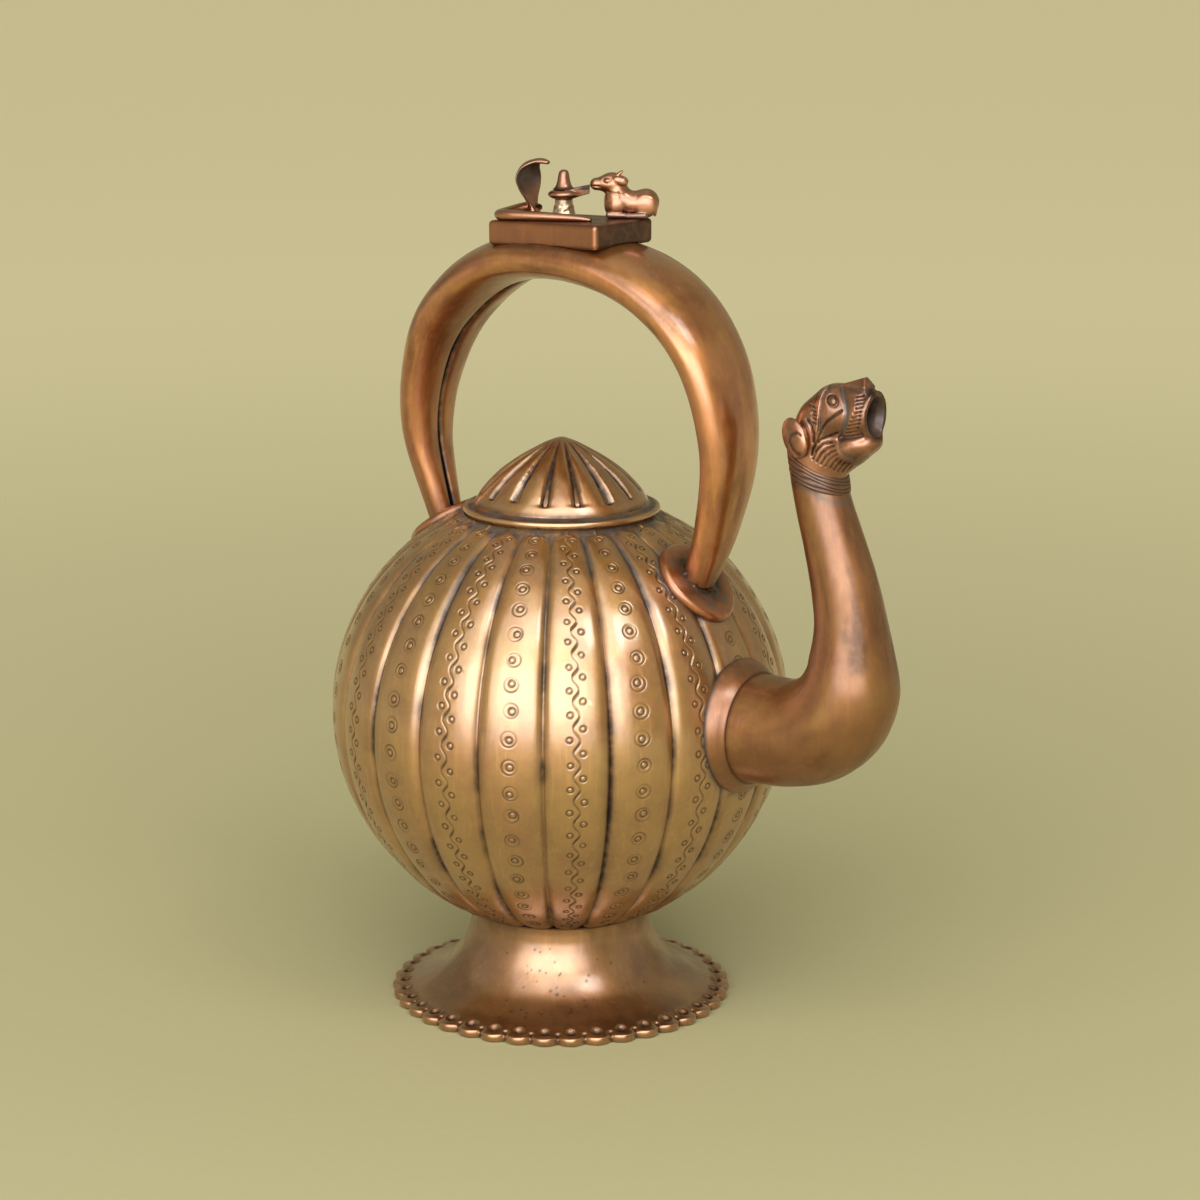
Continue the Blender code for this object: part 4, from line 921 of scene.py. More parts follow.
def flank(px, pz):
    """Relief (mm, positive is cut), dark and grey of the chased flank."""
    def far(pts):
        return polydist(px, pz, [side(*q_) for q_ in pts])
    eng, ink, ash = 0.0 * px, 0.0 * px, 0.0 * px
    for pts, half, depth in FLANK:
        g = np.exp(-(far(pts) / half) ** 2)
        eng = eng + depth * g
        ink = np.maximum(ink, (0.80 if half > 0.345 else 0.55) * g)
    dd = far(STRAP)
    eng = eng + 0.66 * np.exp(-(dd / 1.00) ** 2)
    ash = np.maximum(ash, np.exp(-(dd / 1.10) ** 4))
    dd = far(BROW)
    eng = eng + 0.50 * np.exp(-(dd / 0.42) ** 2)
    ash = np.maximum(ash, 0.9 * np.exp(-(dd / 0.45) ** 2))
    eng = eng - 0.36 * np.exp(-(far(RIDGE) / 0.42) ** 2)
    eng = eng - 0.20 * np.exp(-(far([(452, 545), (520, 540), (600, 522), (660, 508)]) / 0.70) ** 2)
    dd = far(LIP_LINE)
    eng = eng + 0.70 * np.exp(-(dd / 0.65) ** 2)
    ash = np.maximum(ash, np.exp(-(dd / 0.75) ** 2))
    dd = far([(505, 168), (560, 186), (602, 202), (640, 200)])
    eng = eng + 0.45 * np.exp(-(dd / 0.40) ** 2)
    ash = np.maximum(ash, 0.9 * np.exp(-(dd / 0.5) ** 2))
    dd = far([(446, 520), (434, 560), (436, 595), (470, 632), (530, 652)])
    eng = eng + 0.14 * np.exp(-(dd / 0.8) ** 2)
    ash = np.maximum(ash, 0.9 * np.exp(-(dd / 0.9) ** 2))
    re = np.sqrt((px - EYE[0]) ** 2 + (pz - EYE[1]) ** 2)
    clear = 1.0 - np.exp(-(re / 2.9) ** 6)
    ring = np.exp(-((re - 2.15) / 0.38) ** 2)
    eng = eng * clear - 0.70 * np.exp(-(re / 1.55) ** 4) + 0.42 * ring
    return eng, np.maximum(ink * clear, 0.7 * ring), ash * clear


def head_sdf(x, y, z):
    x, y, z = x * 1000, y * 1000, z * 1000
    ay = np.abs(y)
    d = ell(x, y, z, (117.3, 0, 235.5), (9.9, 11.0, 10.7))
    d = smin(d, ell(x, y, z, (123.0, 0, 241.2), (9.9, 9.8, 9.8)), 2.5)
    d = smin(d, cap(x, y, z, (116.0, 0, 214.5), (114.8, 0, 229.0), 9.7, 10.2), 3.0)
    d = smin(d, ell(x, y, z, (121.5, 0, 225.6), (9.2, 8.4, 8.4)), 2.5)
    d = smin(d, ell(x, y, z, (126.6, 0, 227.6), (8.2, 7.8, 6.6)), 2.0)
    # muzzle, cut off where the mouth opens
    mz = cap(x, y * 1.06, z, (125.0, 0, 240.4), (134.0, 0, 241.0), 9.9, 9.0)
    mz = np.maximum(mz, x - 138.9 - 0.16 * np.maximum(z - 243.0, 0.0) + 0.010 * y * y)
    d = smin(d, mz, 1.6)
    jaw = ell(x, y, z, (131.4, 0, 229.9), (9.4, 7.6, 5.0), math.radians(14))
    d = smin(d, jaw, 3.0)
    # wedge of the nose with a flat front
    wid = 1.3 + 1.6 * np.clip((x - 126.0) / 9.0, 0, 1)
    nose = np.maximum(np.maximum(ay - wid * np.clip((254.8 - z) / 3.4, 0.12, 1.2), z - 250.4 - 0.34 * (x - 124.0)),
                      np.maximum(x - 134.6 - 0.42 * (253.2 - z), 246.0 - z)) - 0.3
    nose = np.maximum(nose, 123.5 - x)
    d = smin(d, nose, 0.7)
    eng, _, _ = flank(x - 0.752 * ay, z - 0.289 * ay)
    on = np.clip((ay - 1.2) / 2.0, 0, 1) * np.clip((137.8 - x) / 1.0, 0, 1)
    d = d + np.clip(eng, -0.8, 0.85) * on
    # rolled lip and funnel of the mouth
    q = np.sqrt((y / 6.9) ** 2 + ((z - 240.7) / 8.4) ** 2)
    lip = np.sqrt(((q - 1.0) * 7.0) ** 2 + (x - 138.1 + 0.010 * y * y - 0.05 * (z - 241.0)) ** 2) - 0.60
    d = smin(d, lip, 0.8)
    t = np.clip((139.4 - x) / 9.0, 0, 1) ** 0.8
    hole = (np.sqrt((y / (6.4 - 3.9 * t)) ** 2 + ((z - 240.7 + 0.4 * t) / (7.9 - 5.1 * t)) ** 2) - 1.0) * (6.4 - 3.9 * t)
    d = -smin(-d, np.maximum(hole, 124.5 - x), 0.5)
    throat = np.maximum(np.sqrt((x - 115.6) ** 2 + y ** 2) - 7.6, z - 232.0)
    d = np.maximum(d, -throat)
    # leaf ears lying back against the head
    for s in (-1.0, 1.0):
        tw = s * math.radians(12)
        e = ell(x, y, z, (112.6, s * 11.8, 231.9), (5.4, 2.1, 7.7), math.radians(30), tw)
        hook = polydist(x - 0.752 * ay, z - 0.289 * ay, [side(*q_) for q_ in HOOK])
        e = e + 0.30 * np.exp(-(hook / 0.50) ** 2) * (ay > 11.0)
        d = smin(d, e, 0.7)
    return d * 0.001


V, Q = nets(head_sdf, (0.0995, -0.0165, 0.2165), (0.1450, 0.0165, 0.2560), 0.00036)
MM = V * 1000.0
AY = np.abs(MM[:, 1])
_, ink, ash = flank(MM[:, 0] - 0.752 * AY, MM[:, 2] - 0.289 * AY)
own = np.clip((AY - 1.2) / 2.0, 0, 1) * np.clip((138.2 - MM[:, 0]) / 1.2, 0, 1)
q = np.sqrt((MM[:, 1] / 6.7) ** 2 + ((MM[:, 2] - 240.7) / 8.2) ** 2)
# Mouth inside: painted shade, dark inside the opening and black further in, with a grey band near the lip.
inside = (1 - smooth(q, 0.86, 1.02)) * (MM[:, 0] > 124.0) * (MM[:, 0] < 138.6)
deep_mouth_shade = inside * smooth(136.5 - MM[:, 0], 0.0, 5.0)
hook = polydist(MM[:, 0] - 0.752 * AY, MM[:, 2] - 0.289 * AY, [side(*q_) for q_ in HOOK])
hollow = np.exp(-(hook / 0.58) ** 2) * (AY > 11.0)
# painted shade on the mouth's rolled rim, where it would catch the light
lip_painted_shade = np.exp(-((q - 1.02) / 0.16) ** 2) * smooth(MM[:, 0], 134.5, 136.5) * 0.75
vary = fbm(V, 240.0, 33)
soil = 0.45 * smooth(vary, 0.42, 0.66)
make("spout_beast_head", V, [Q], "vessel", ["spout_head"], M_FIG,
     {"dark": np.clip(np.maximum(ink * own, 0.80 * inside + 0.2 * deep_mouth_shade) + soil + 0.85 * hollow + lip_painted_shade, 0, 1),
      "grey": np.clip(np.maximum(ash * own * (0.7 + 0.5 * vary), 0.55 * inside * (1 - deep_mouth_shade)), 0, 1), "black": 0.8 * deep_mouth_shade})


# ------------------------------------------------------------------ handle
HP = np.array([(0.0628, 0.1694, 0.0062, 0.0060), (0.0723, 0.1941, 0.0110, 0.0070), (0.0769, 0.2243, 0.0153, 0.0081),
               (0.0684, 0.2556, 0.0185, 0.0089), (0.0469, 0.2773, 0.0210, 0.0094), (0.0145, 0.2873, 0.0224, 0.0095),
               (-0.0207, 0.2843, 0.0224, 0.0095), (-0.0474, 0.2657, 0.0206, 0.0094), (-0.0600, 0.2432, 0.0166, 0.0084),
               (-0.0639, 0.2148, 0.0122, 0.0073), (-0.0545, 0.1790, 0.0064, 0.0060)])


def handle_at(u):
    p = rom(HP, u)
    t = rom(HP, np.minimum(u + 0.003, 1)) - rom(HP, np.maximum(u - 0.003, 0))
    T_ = np.stack([t[:, 0], 0 * u, t[:, 1]], -1)
    T_ /= np.linalg.norm(T_, axis=1, keepdims=True)
    return np.stack([p[:, 0], 0 * u, p[:, 1]], -1), np.stack([T_[:, 2], 0 * u, -T_[:, 0]], -1), p[:, 2], p[:, 3]


ns, na = ((230, 84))
u = np.linspace(0.012, 0.992, ns)
C, Nn, W, H = handle_at(u)
Nn = np.where((Nn * (C - np.array([0.005, 0, 0.235]))).sum(1, keepdims=True) > 0, Nn, -Nn)
gap = 0.00045 + 0.00035 * np.sin(u * 31.0) * np.sin(u * 13.0) + 0.0006 * np.exp(-((u - 0.985) / 0.03) ** 2)
ring_out, ring_in, tt = [], [], []
lam = np.linspace(0, 1, na)
for i_ in range(ns):
    w, h = W[i_], H[i_]
    slit = gap[i_] / w
    t = math.pi + slit + (TAU - 2 * slit) * lam
    cth, sth = np.cos(t), np.sin(t)
    inn = np.where(cth < 0, 1.0, 0.0)
    nx = np.sign(cth) * np.abs(cth) ** np.where(cth < 0, 0.80, 1.0) * h * np.where(cth < 0, 0.92, 1.0)
    nx = np.where(cth > 0, nx * (1.0 - 0.08 * math.exp(-((C[i_, 0] - 0.0057) / 0.027) ** 4)), nx)
    sy = np.sign(sth) * np.abs(sth) ** 0.92 * w
    # the sheet's two edges roll into the seam
    near_s = np.minimum(lam, 1 - lam) * TAU * w
    nx = nx + 0.0013 * np.exp(-(near_s / 0.0012) ** 1.6)
    ring_out.append(C[i_] + Nn[i_] * nx[:, None] + np.array([0, 1.0, 0]) * sy[:, None])
    ring_in.append(C[i_] + Nn[i_] * (nx * 0.80 + 0.0006)[:, None] + np.array([0, 1.0, 0]) * (sy * 0.90)[:, None])
Ro, Ri = np.array(ring_out), np.array(ring_in)[:, ::-1]
P = np.concatenate([Ro, Ri], axis=1)
dent = (fbm(P.reshape(-1, 3), 42.0, 41) - 0.5).reshape(P.shape[:2])
P = P + (Nn[:, None] * (dent * 0.0007)[..., None])
npt = P.shape[1]
lamf = np.r_[lam, lam[::-1]]
near_s = np.minimum(lamf, 1 - lamf)[None] * TAU * W[:, None]
isout = np.r_[np.ones(na), np.zeros(na)][None]
pv = P.reshape(-1, 3)
vary = fbm(pv, 80.0, 44)
dark = (np.exp(-(near_s / 0.0013) ** 1.5) * isout).ravel() * (0.75 + 0.4 * vary)
dark = np.maximum(dark, ((1 - isout) * np.ones((ns, 1))).ravel() * 0.9)
inface = smooth(-(Nn[:, None] * (P - C[:, None])).sum(-1) / H[:, None], 0.2, 0.9).ravel()
dark = np.maximum(dark, 0.26 * inface * smooth(vary, 0.25, 0.7))
foot_d = np.minimum(np.linalg.norm(pv - PLATES["front"][0] - 0.004 * PLATES["front"][1], axis=1),
                    np.linalg.norm(pv - PLATES["rear"][0] - 0.004 * PLATES["rear"][1], axis=1))
grey = np.exp(-(foot_d / 0.0085) ** 2) * smooth(vary, 0.35, 0.65)
dark = np.maximum(dark, np.exp(-(foot_d / 0.0072) ** 3) * 0.7)
# painted shadow on the top of the crown, just under the plinth
crown_painted_shadow = np.exp(-((pv[:, 0] - 0.0057) / 0.030) ** 8) * smooth(pv[:, 2], 0.2895, 0.2925) * 0.7
dark = np.maximum(dark, crown_painted_shadow)
ends = []
q = np.arange(npt)
grain_v = np.stack([np.broadcast_to(u[:, None] * 2.4, P.shape[:2]), 0.36 * np.cos(TAU * np.broadcast_to(lamf[None], P.shape[:2])),
                    0.36 * np.sin(TAU * np.broadcast_to(lamf[None], P.shape[:2]))], -1).reshape(-1, 3)
gild = smooth(fbm(grain_v, 8.0, 46), 0.50, 0.72) * 0.75 + smooth(fbm(grain_v, 22.0, 47), 0.55, 0.75) * 0.30
dull = smooth(fbm(grain_v + 5.3, 6.0, 48), 0.50, 0.74) * 0.46
dark = np.maximum(dark, dull)
make("handle_rolled_tube", pv, [grid_faces(ns, npt, False, True)], "vessel", ["handle_tube"], M_RED,
     {"dark": np.clip(dark, 0, 1), "grey": np.clip(grey, 0, 1), "gild": np.clip(gild, 0, 1)})

# ------------------------------------------------------------------ plates under the handle feet
for tag, (c, nrm_) in PLATES.items():
    tang = np.array([nrm_[2], 0.0, -nrm_[0]])
    tang = tang if tang[2] < 0 else -tang                      # down the slope
    acr = np.array([0.0, 1.0, 0.0])
    rho = np.r_[np.linspace(0, 0.0150, 34), 0.0155, 0.0159, 0.0162, 0.0164, 0.01655, 0.0166, 0.01655, 0.0163]
    m_ = 112
    ps = np.arange(m_) * TAU / m_
    lift = np.interp(rho, [0, 0.006, 0.010, 0.0135, 0.0150], [0.0020, 0.0021, 0.0023, 0.0027, 0.0028])
    lift[34:] = [0.0027, 0.00245, 0.0021, 0.0017, 0.0012, 0.0006, 0.0001, -0.0004]
    rows_p = []
    for rr_, lf in zip(rho, lift):
        tear = 1.0 + 0.10 * np.clip(np.cos(ps), 0, 1) ** 3
        b0 = c + (rr_ * tear * np.cos(ps))[:, None] * tang + (rr_ * np.sin(ps))[:, None] * acr
        # drop on to the bulb along the plate's normal
        for _ in range(6):
            rxy = np.hypot(b0[:, 0], b0[:, 1])
            err = rxy - bulb_r(np.clip(b0[:, 2], 0.04, 0.1905))
            b0 = b0 - (err * abs(nrm_[0]) + err * 0.0)[:, None] * nrm_
        rows_p.append(b0 + lf * nrm_)
    P = np.stack(rows_p)
    pv = P.reshape(-1, 3)
    vary = fbm(pv, 230.0, 51)
    rr_ = np.broadcast_to(rho[:, None], P.shape[:2]).ravel()
    fcx = c + 0.003 * nrm_
    df = np.linalg.norm(pv - fcx, axis=1)
    crust = np.exp(-((rr_ - 0.0074) / 0.0011) ** 2) * smooth(vary, 0.30, 0.55)
    pv = pv + crust[:, None] * 0.0010 * nrm_
    black = np.clip(np.exp(-((rr_ - 0.0071) / 0.0016) ** 2) * (0.5 + 0.9 * vary), 0, 1)
    dark = np.clip(np.exp(-((rr_ - 0.0085) / 0.0038) ** 2) * 0.75 + (rho[:, None] * np.ones(m_)).ravel() ** 0 * 0.55 * (np.arange(len(rho))[:, None] * np.ones(m_) > 38).ravel(), 0, 1)
    grey = np.clip(np.exp(-((rr_ - 0.0105) / 0.0025) ** 2) * smooth(vary, 0.5, 0.7), 0, 1)
    dark = np.clip(dark + (0.45 if tag == "rear" else 0.18) * smooth(fbm(pv, 120.0, 53), 0.38, 0.62), 0, 1)
    make("handle_plate_" + tag, pv, [grid_faces(len(rho), m_, False, True, 0, tag == "rear")], "vessel", ["handle_escutcheon_" + tag], M_RED,
         {"dark": dark, "black": black, "grey": grey})

# ------------------------------------------------------------------ plinth
PX, PTOP, PLOW = 0.0053, 0.3018, 0.2927
uu = np.linspace(0.25, 0.75, 500)
CC, CN, CW, CH = handle_at(uu)
CN = np.where(CN[:, 2:3] > 0, CN, -CN)
order = np.argsort(CC[:, 0])
cxs, czs, cws, chs = CC[order, 0], CC[order, 2], CW[order], CH[order]
cnx, cnz = CN[order, 0], CN[order, 2]


def plinth_sdf(x, y, z):
    bx = np.abs(x - PX) - (0.0249 - 0.0016)
    by = np.abs(y) - (0.0180 - 0.0016)
    zc, zh = (PTOP + PLOW) / 2, (PTOP - PLOW) / 2
    bz = np.abs(z - zc) - (zh - 0.0016)
    d = np.sqrt(np.maximum(bx, 0) ** 2 + np.maximum(by, 0) ** 2 + np.maximum(bz, 0) ** 2) + np.minimum(np.maximum(np.maximum(bx, by), bz), 0) - 0.0016
    zc_ = np.interp(x.ravel(), cxs, czs).reshape(x.shape)
    w_ = np.interp(x.ravel(), cxs, cws).reshape(x.shape)
    h_ = np.interp(x.ravel(), cxs, chs).reshape(x.shape)
    nz_ = np.interp(x.ravel(), cxs, cnz).reshape(x.shape)
    top_ = zc_ + (0.92 * h_ / nz_) * np.sqrt(np.clip(1 - (np.abs(y) / w_) ** 2.17, 0.0, 1.0))
    return np.maximum(d, (top_ + 0.0004) - z)


V, Q = nets(plinth_sdf, (PX - 0.0260, -0.0191, 0.2895), (PX + 0.0260, 0.0191, 0.3030), 0.00042)
vary = fbm(V, 150.0, 61)
# darker along the bottom edge: painted shade where the plinth sits on the handle; the top face is darkened too
dark = np.exp(-((V[:, 2] - 0.2925) / 0.0018) ** 2) * 0.55 * (0.4 + 0.8 * vary) + smooth(V[:, 2], 0.3011, 0.3017) * 0.62
# painted shade: the right-hand (+x) face is darkened as a whole
dark = np.maximum(dark, smooth(V[:, 0] - PX, 0.0232, 0.0246) * (0.70 + 0.25 * vary))
# painted highlight down the front corner
corner_painted_highlight = np.exp(-((np.hypot(V[:, 0] - PX - 0.0249, V[:, 1] + 0.0180) - 0.0006) / 0.0009) ** 2)


def lean(v):
    """The plinth and what stands on it dip a little towards the rear."""
    v = np.array(v)
    v[:, 2] += 0.021 * (v[:, 0] - PX - 0.0249)
    return v


make("handle_plinth", lean(V), [Q], "vessel", ["plinth"], M_PLINTH,
     {"dark": np.clip(dark - corner_painted_highlight, 0, 1), "wear_and_highlight": corner_painted_highlight}, sharp=None)
TOP = PTOP

# ------------------------------------------------------------------ cobra
coil = [(-0.0098, 0.0004, 0.0021), (-0.0136, 0.0008, 0.0022), (-0.0166, -0.0026, 0.0023), (-0.0177, -0.0084, 0.0023), (-0.0172, -0.0132, 0.0022),
        (-0.0136, -0.0152, 0.0023), (-0.0050, -0.0138, 0.0022), (0.0050, -0.0110, 0.0019), (0.0140, -0.0078, 0.0014), (0.0192, -0.0056, 0.0007)]
u = np.linspace(0, 1, 120)
K = rom(coil, u)
lift = 0.0019 * np.exp(-((u - 0.10) / 0.16) ** 2)
Cc = np.stack([K[:, 0], K[:, 1], TOP + K[:, 2] * 0.86 + lift], -1)
Tt = np.gradient(Cc, axis=0)
Tt /= np.linalg.norm(Tt, axis=1, keepdims=True)
Sd = np.cross(Tt, np.array([0, 0, 1.0]))
Sd /= np.linalg.norm(Sd, axis=1, keepdims=True)
Up = np.cross(Sd, Tt)
ph = np.arange(28) * TAU / 28
P = Cc[:, None] + Sd[:, None] * (K[:, 2][:, None] * np.cos(ph)[None])[..., None] + Up[:, None] * (0.88 * K[:, 2][:, None] * np.sin(ph)[None])[..., None]
hood = [(-0.0098, 0.0012, 0.0020, 0.0000, 0.0019), (-0.0104, 0.0040, 0.0021, 0.0002, 0.0015), (-0.0114, 0.0072, 0.0034, 0.0009, 0.0011),
        (-0.0130, 0.0112, 0.0060, 0.0022, 0.0008), (-0.0138, 0.0155, 0.0070, 0.0027, 0.0008), (-0.0124, 0.0196, 0.0054, 0.0018, 0.0008),
        (-0.0088, 0.0215, 0.0030, 0.0006, 0.0009), (-0.0058, 0.0217, 0.0019, 0.0002, 0.0010), (-0.0034, 0.0213, 0.0011, 0.0000, 0.0007), (-0.0029, 0.0211, 0.0003, 0.0000, 0.0003)]
uh = np.linspace(0, 1, 90)
Hh = rom(hood, uh)
Hh[:, 2] *= 1.10
Hc = np.stack([Hh[:, 0] - 0.0011, 0 * uh - 0.0006, TOP + 0.962 * Hh[:, 1]], -1)
Ht = np.gradient(Hc, axis=0)
Ht /= np.linalg.norm(Ht, axis=1, keepdims=True)
Hn = np.stack([Ht[:, 2], 0 * uh, -Ht[:, 0]], -1)
ph2 = np.arange(44) * TAU / 44
s_, c_ = np.sin(ph2), np.cos(ph2)
P2 = Hc[:, None] + np.array([0, 1.0, 0]) * (Hh[:, 2][:, None] * s_[None])[..., None]
P2 = P2 + Hn[:, None] * (Hh[:, 3][:, None] * (s_ ** 2 - 0.5)[None] + Hh[:, 4][:, None] * np.sign(c_)[None] * np.abs(c_)[None] ** 0.8)[..., None]
V = np.vstack([P.reshape(-1, 3), P2.reshape(-1, 3)])
k0 = P.shape[0] * 28
front = np.r_[np.zeros(k0), (np.broadcast_to((c_ > 0)[None], P2.shape[:2]).astype(float) * smooth(uh, 0.25, 0.4)[:, None]).ravel()]
make("cobra_figure", lean(V), [grid_faces(120, 28, False, True), grid_faces(90, 44, False, True, k0, True), np.arange(28)[None, ::-1], (119 * 28 + np.arange(28))[None],
                         (k0 + 89 * 44 + np.arange(44))[None, ::-1]], "vessel", ["naga"], M_FIG,
     {"dark": 0.10 + 0.68 * front, "grey": 0.55 * front})

# ------------------------------------------------------------------ lingam on its disc
LX = 0.0024
base_p = dense([(0.0002, 0.0073), (0.0030, 0.0073), (0.0033, 0.0066), (0.0034, 0.0054), (0.0039, 0.0033), (0.0045, 0.0013), (0.0049, 0.0)], 0.00022)
P = revolve(base_p, 72)
pv = P.reshape(-1, 3)
lump = fbm(pv, 620.0, 71, 4) - 0.5
rad = np.hypot(pv[:, 0], pv[:, 1])[:, None]
pv = pv + np.c_[pv[:, :2] / np.maximum(rad, 1e-5), np.zeros(len(pv))] * (lump * 0.0012 * smooth(0.0060 - pv[:, 2], 0, 0.002))[:, None]
pv = lean(pv + np.array([LX, 0, TOP]))
make("lingam_pedestal", pv, [grid_faces(72, len(base_p), True, False, 0, False)], "vessel", ["yoni_pedestal"], M_SOLDER,
     {"dark": 0.55 * smooth(0.5 - lump, 0.55, 0.85)})


def disc_sdf(x, y, z):
    x, y, z = x * 1000, y * 1000, z * 1000
    r = np.sqrt(x * x + y * y)
    q = np.sqrt((r / 5.9) ** 2 + ((z - 2.1) / 2.15) ** 2)
    d = (q - 1.0) * 2.15
    d = np.maximum(d, z - 3.45 - 0.85 * (1 - smooth(r, 2.2, 5.2)))
    t = np.clip((x - 1.5) / 8.6, 0, 1)
    half = 3.6 * (1 - t) + 1.35 * t
    lo_, hi_ = 0.9 + 1.7 * t ** 1.3, 3.5 + 1.7 * t
    b = np.maximum(np.maximum(np.abs(y) - half, np.maximum(lo_ - z, z - hi_)), np.maximum(1.0 - x, x - 9.3)) - 0.25
    chan = np.maximum(np.maximum(np.abs(y) - half * 0.55, 3.2 + 1.4 * t - z), 4.6 - x)
    b = np.maximum(b, -chan)
    d = smin(d, b, 0.7)
    return d * 0.001


V, Q = nets(disc_sdf, (-0.0064, -0.0064, -0.0008), (0.0112, 0.0064, 0.0062), 0.00020)
bd = math.radians(34.0)
X, Y = V[:, 0] * math.cos(bd) - V[:, 1] * math.sin(bd), V[:, 0] * math.sin(bd) + V[:, 1] * math.cos(bd)
dark = 0.55 * smooth(V[:, 0], 0.0046, 0.0080) + 0.55 * smooth(V[:, 2], 0.0034, 0.0039)
V = lean(np.stack([X + LX, Y, V[:, 2] + TOP + 0.0070], -1))
make("yoni_disc_beak", V, [Q], "vessel", ["yoni_disc"], M_FIG, {"dark": np.clip(dark, 0, 1)})
lp = dense([(0.0001, 0.0072), (0.0008, 0.0070), (0.0014, 0.0063), (0.0017, 0.0051), (0.0019, 0.0036), (0.0022, 0.0020), (0.0027, 0.0006), (0.0034, -0.0002)], 0.0002)
P = lean((revolve(lp * np.array([1.2, 0.96]), 64) + np.array([LX, 0, TOP + 0.0112])).reshape(-1, 3)).reshape(64, len(lp), 3)
make("lingam_column", P.reshape(-1, 3), [grid_faces(64, len(lp), True, False, 0, False)], "vessel", ["lingam"], M_FIG,
     {"dark": np.broadcast_to(0.8 * smooth(-lp[:, 1], -0.0014, 0.0), P.shape[:2]).ravel()})


# ------------------------------------------------------------------ bull
def bull_sdf(x, y, z):
    x, y, z = x * 1000, y * 1000, z * 1000
    ay = np.abs(y)
    d = ell(x, y, z, (-1.2, 0, 5.4), (8.6, 4.8, 5.0))
    d = smin(d, ell(x, y, z, (-5.4, 0, 5.9), (5.0, 5.0, 5.3)), 1.2)
    d = smin(d, ell(x, y, z, (6.2, 0, 5.6), (3.9, 4.2, 5.7)), 1.5)
    d = smin(d, cap(x, y, z, (4.6, 0, 8.4), (5.8, 0, 12.6), 4.6, 4.0), 2.0)
    d = smin(d, ell(x, y, z, (7.3, 0, 13.7), (4.6, 3.7, 3.9), math.radians(-6)), 1.2)
    d = smin(d, cap(x, y, z, (8.6, 0, 13.3), (12.8, 0, 13.2), 3.3, 2.45), 1.0)
    d = smin(d, cap(x, ay, z, (5.4, 1.6, 16.0), (3.4, 2.3, 17.9), 1.0, 0.42), 0.5)
    d = smin(d, ell(x, ay, z, (3.9, 3.3, 14.4), (3.0, 1.15, 1.7), math.radians(20)), 0.4)
    # brow ridge, eye, nostril and lip
    fx, fz = x - 8.9, z - 14.7
    d = d + 0.24 * np.exp(-((np.sqrt(fx ** 2 + (1.3 * fz) ** 2) - 1.35) / 0.36) ** 2) * (ay > 1.4)
    d = d - 0.28 * np.exp(-(fx ** 2 + (1.3 * fz) ** 2) / 0.7) * (ay > 1.4)
    d = d + 0.40 * np.exp(-(np.sqrt((x - 14.6) ** 2 + (z - 14.0) ** 2 + (ay - 1.2) ** 2) / 0.5) ** 2)
    d = d + 0.35 * np.exp(-((z - 12.4 - 0.10 * (x - 12.0)) / 0.3) ** 2) * (x > 11.2) * (ay > 0.5)
    # dewlap folds and the line of the flank
    d = d + 0.28 * np.exp(-((x - 3.0 - 0.35 * (z - 6.0)) / 0.45) ** 2) * (z > 2.0) * (z < 10.5)
    d = d + 0.25 * np.exp(-((z - 9.2 - 0.2 * (x - 3.0)) / 0.4) ** 2) * (x > 2.0) * (x < 8.5)
    # folded legs
    leg = ell(x, ay, z, (4.9, 3.6, 5.2), (3.0, 1.45, 3.7), math.radians(24))
    leg = smin(leg, cap(x, ay, z, (8.0, 3.4, 1.5), (0.5, 4.3, 1.1), 1.35, 1.0), 0.4)
    d = smin(d, leg, 0.35)
    ham = ell(x, ay, z, (-5.4, 3.7, 4.8), (4.4, 1.6, 4.6), math.radians(-8))
    ham = smin(ham, cap(x, ay, z, (-5.0, 4.6, 1.1), (1.2, 4.6, 1.0), 1.25, 0.95), 0.4)
    d = smin(d, ham, 0.35)
    tail = cap(x, ay * 0 + y, z, (-9.9, 1.2, 6.5), (-8.8, 3.0, 1.2), 0.6)
    d = smin(d, tail, 0.3)
    return np.maximum(d, -0.05 - z) * 0.001


V, Q = nets(bull_sdf, (-0.0118, -0.0072, -0.0008), (0.0168, 0.0072, 0.0198), 0.0003)
ba = math.radians(180.0 + 34.0)
foot_dark = smooth(-V[:, 2], -0.0022, -0.0002) * 0.6
foot_grey = np.exp(-((V[:, 2] - 0.0012) / 0.0010) ** 2) * 0.7 * (np.abs(V[:, 1]) > 0.003)
X, Y = V[:, 0] * math.cos(ba) - V[:, 1] * math.sin(ba), V[:, 0] * math.sin(ba) + V[:, 1] * math.cos(ba)
V = np.stack([X + 0.0236, Y + 0.0132, 0.955 * V[:, 2] + TOP + 0.0001], -1)
make("reclining_bull", lean(V), [Q], "vessel", ["nandi"], M_FIG, {"dark": foot_dark, "grey": foot_grey})

# ------------------------------------------------------------------ stage, light, camera
# Floor colours: darker near the vessel and lighter far off, a painted gradient of light over the floor; NEAR_A and
# NEAR_B mix as the paper's grain.
NEAR_A, NEAR_B, FAR_C = (0.369, 0.350, 0.195, 1), (0.395, 0.373, 0.209, 1), (0.870, 0.812, 0.556, 1)
fm = bpy.data.materials.new("pale_floor")
fm.use_nodes = True
nt = fm.node_tree
b = nt.nodes["Principled BSDF"]
b.inputs['Roughness'].default_value = 0.85
b.inputs['Specular IOR Level'].default_value = 0.15
tc = nt.nodes.new('ShaderNodeTexCoord')
nn = nt.nodes.new('ShaderNodeTexNoise')
nn.inputs['Scale'].default_value = 260.0
nn.inputs['Detail'].default_value = 3.0
nt.links.new(tc.outputs['Object'], nn.inputs['Vector'])
grain = nt.nodes.new('ShaderNodeMix')
grain.data_type = 'RGBA'
grain.inputs[6].default_value = NEAR_A
grain.inputs[7].default_value = NEAR_B
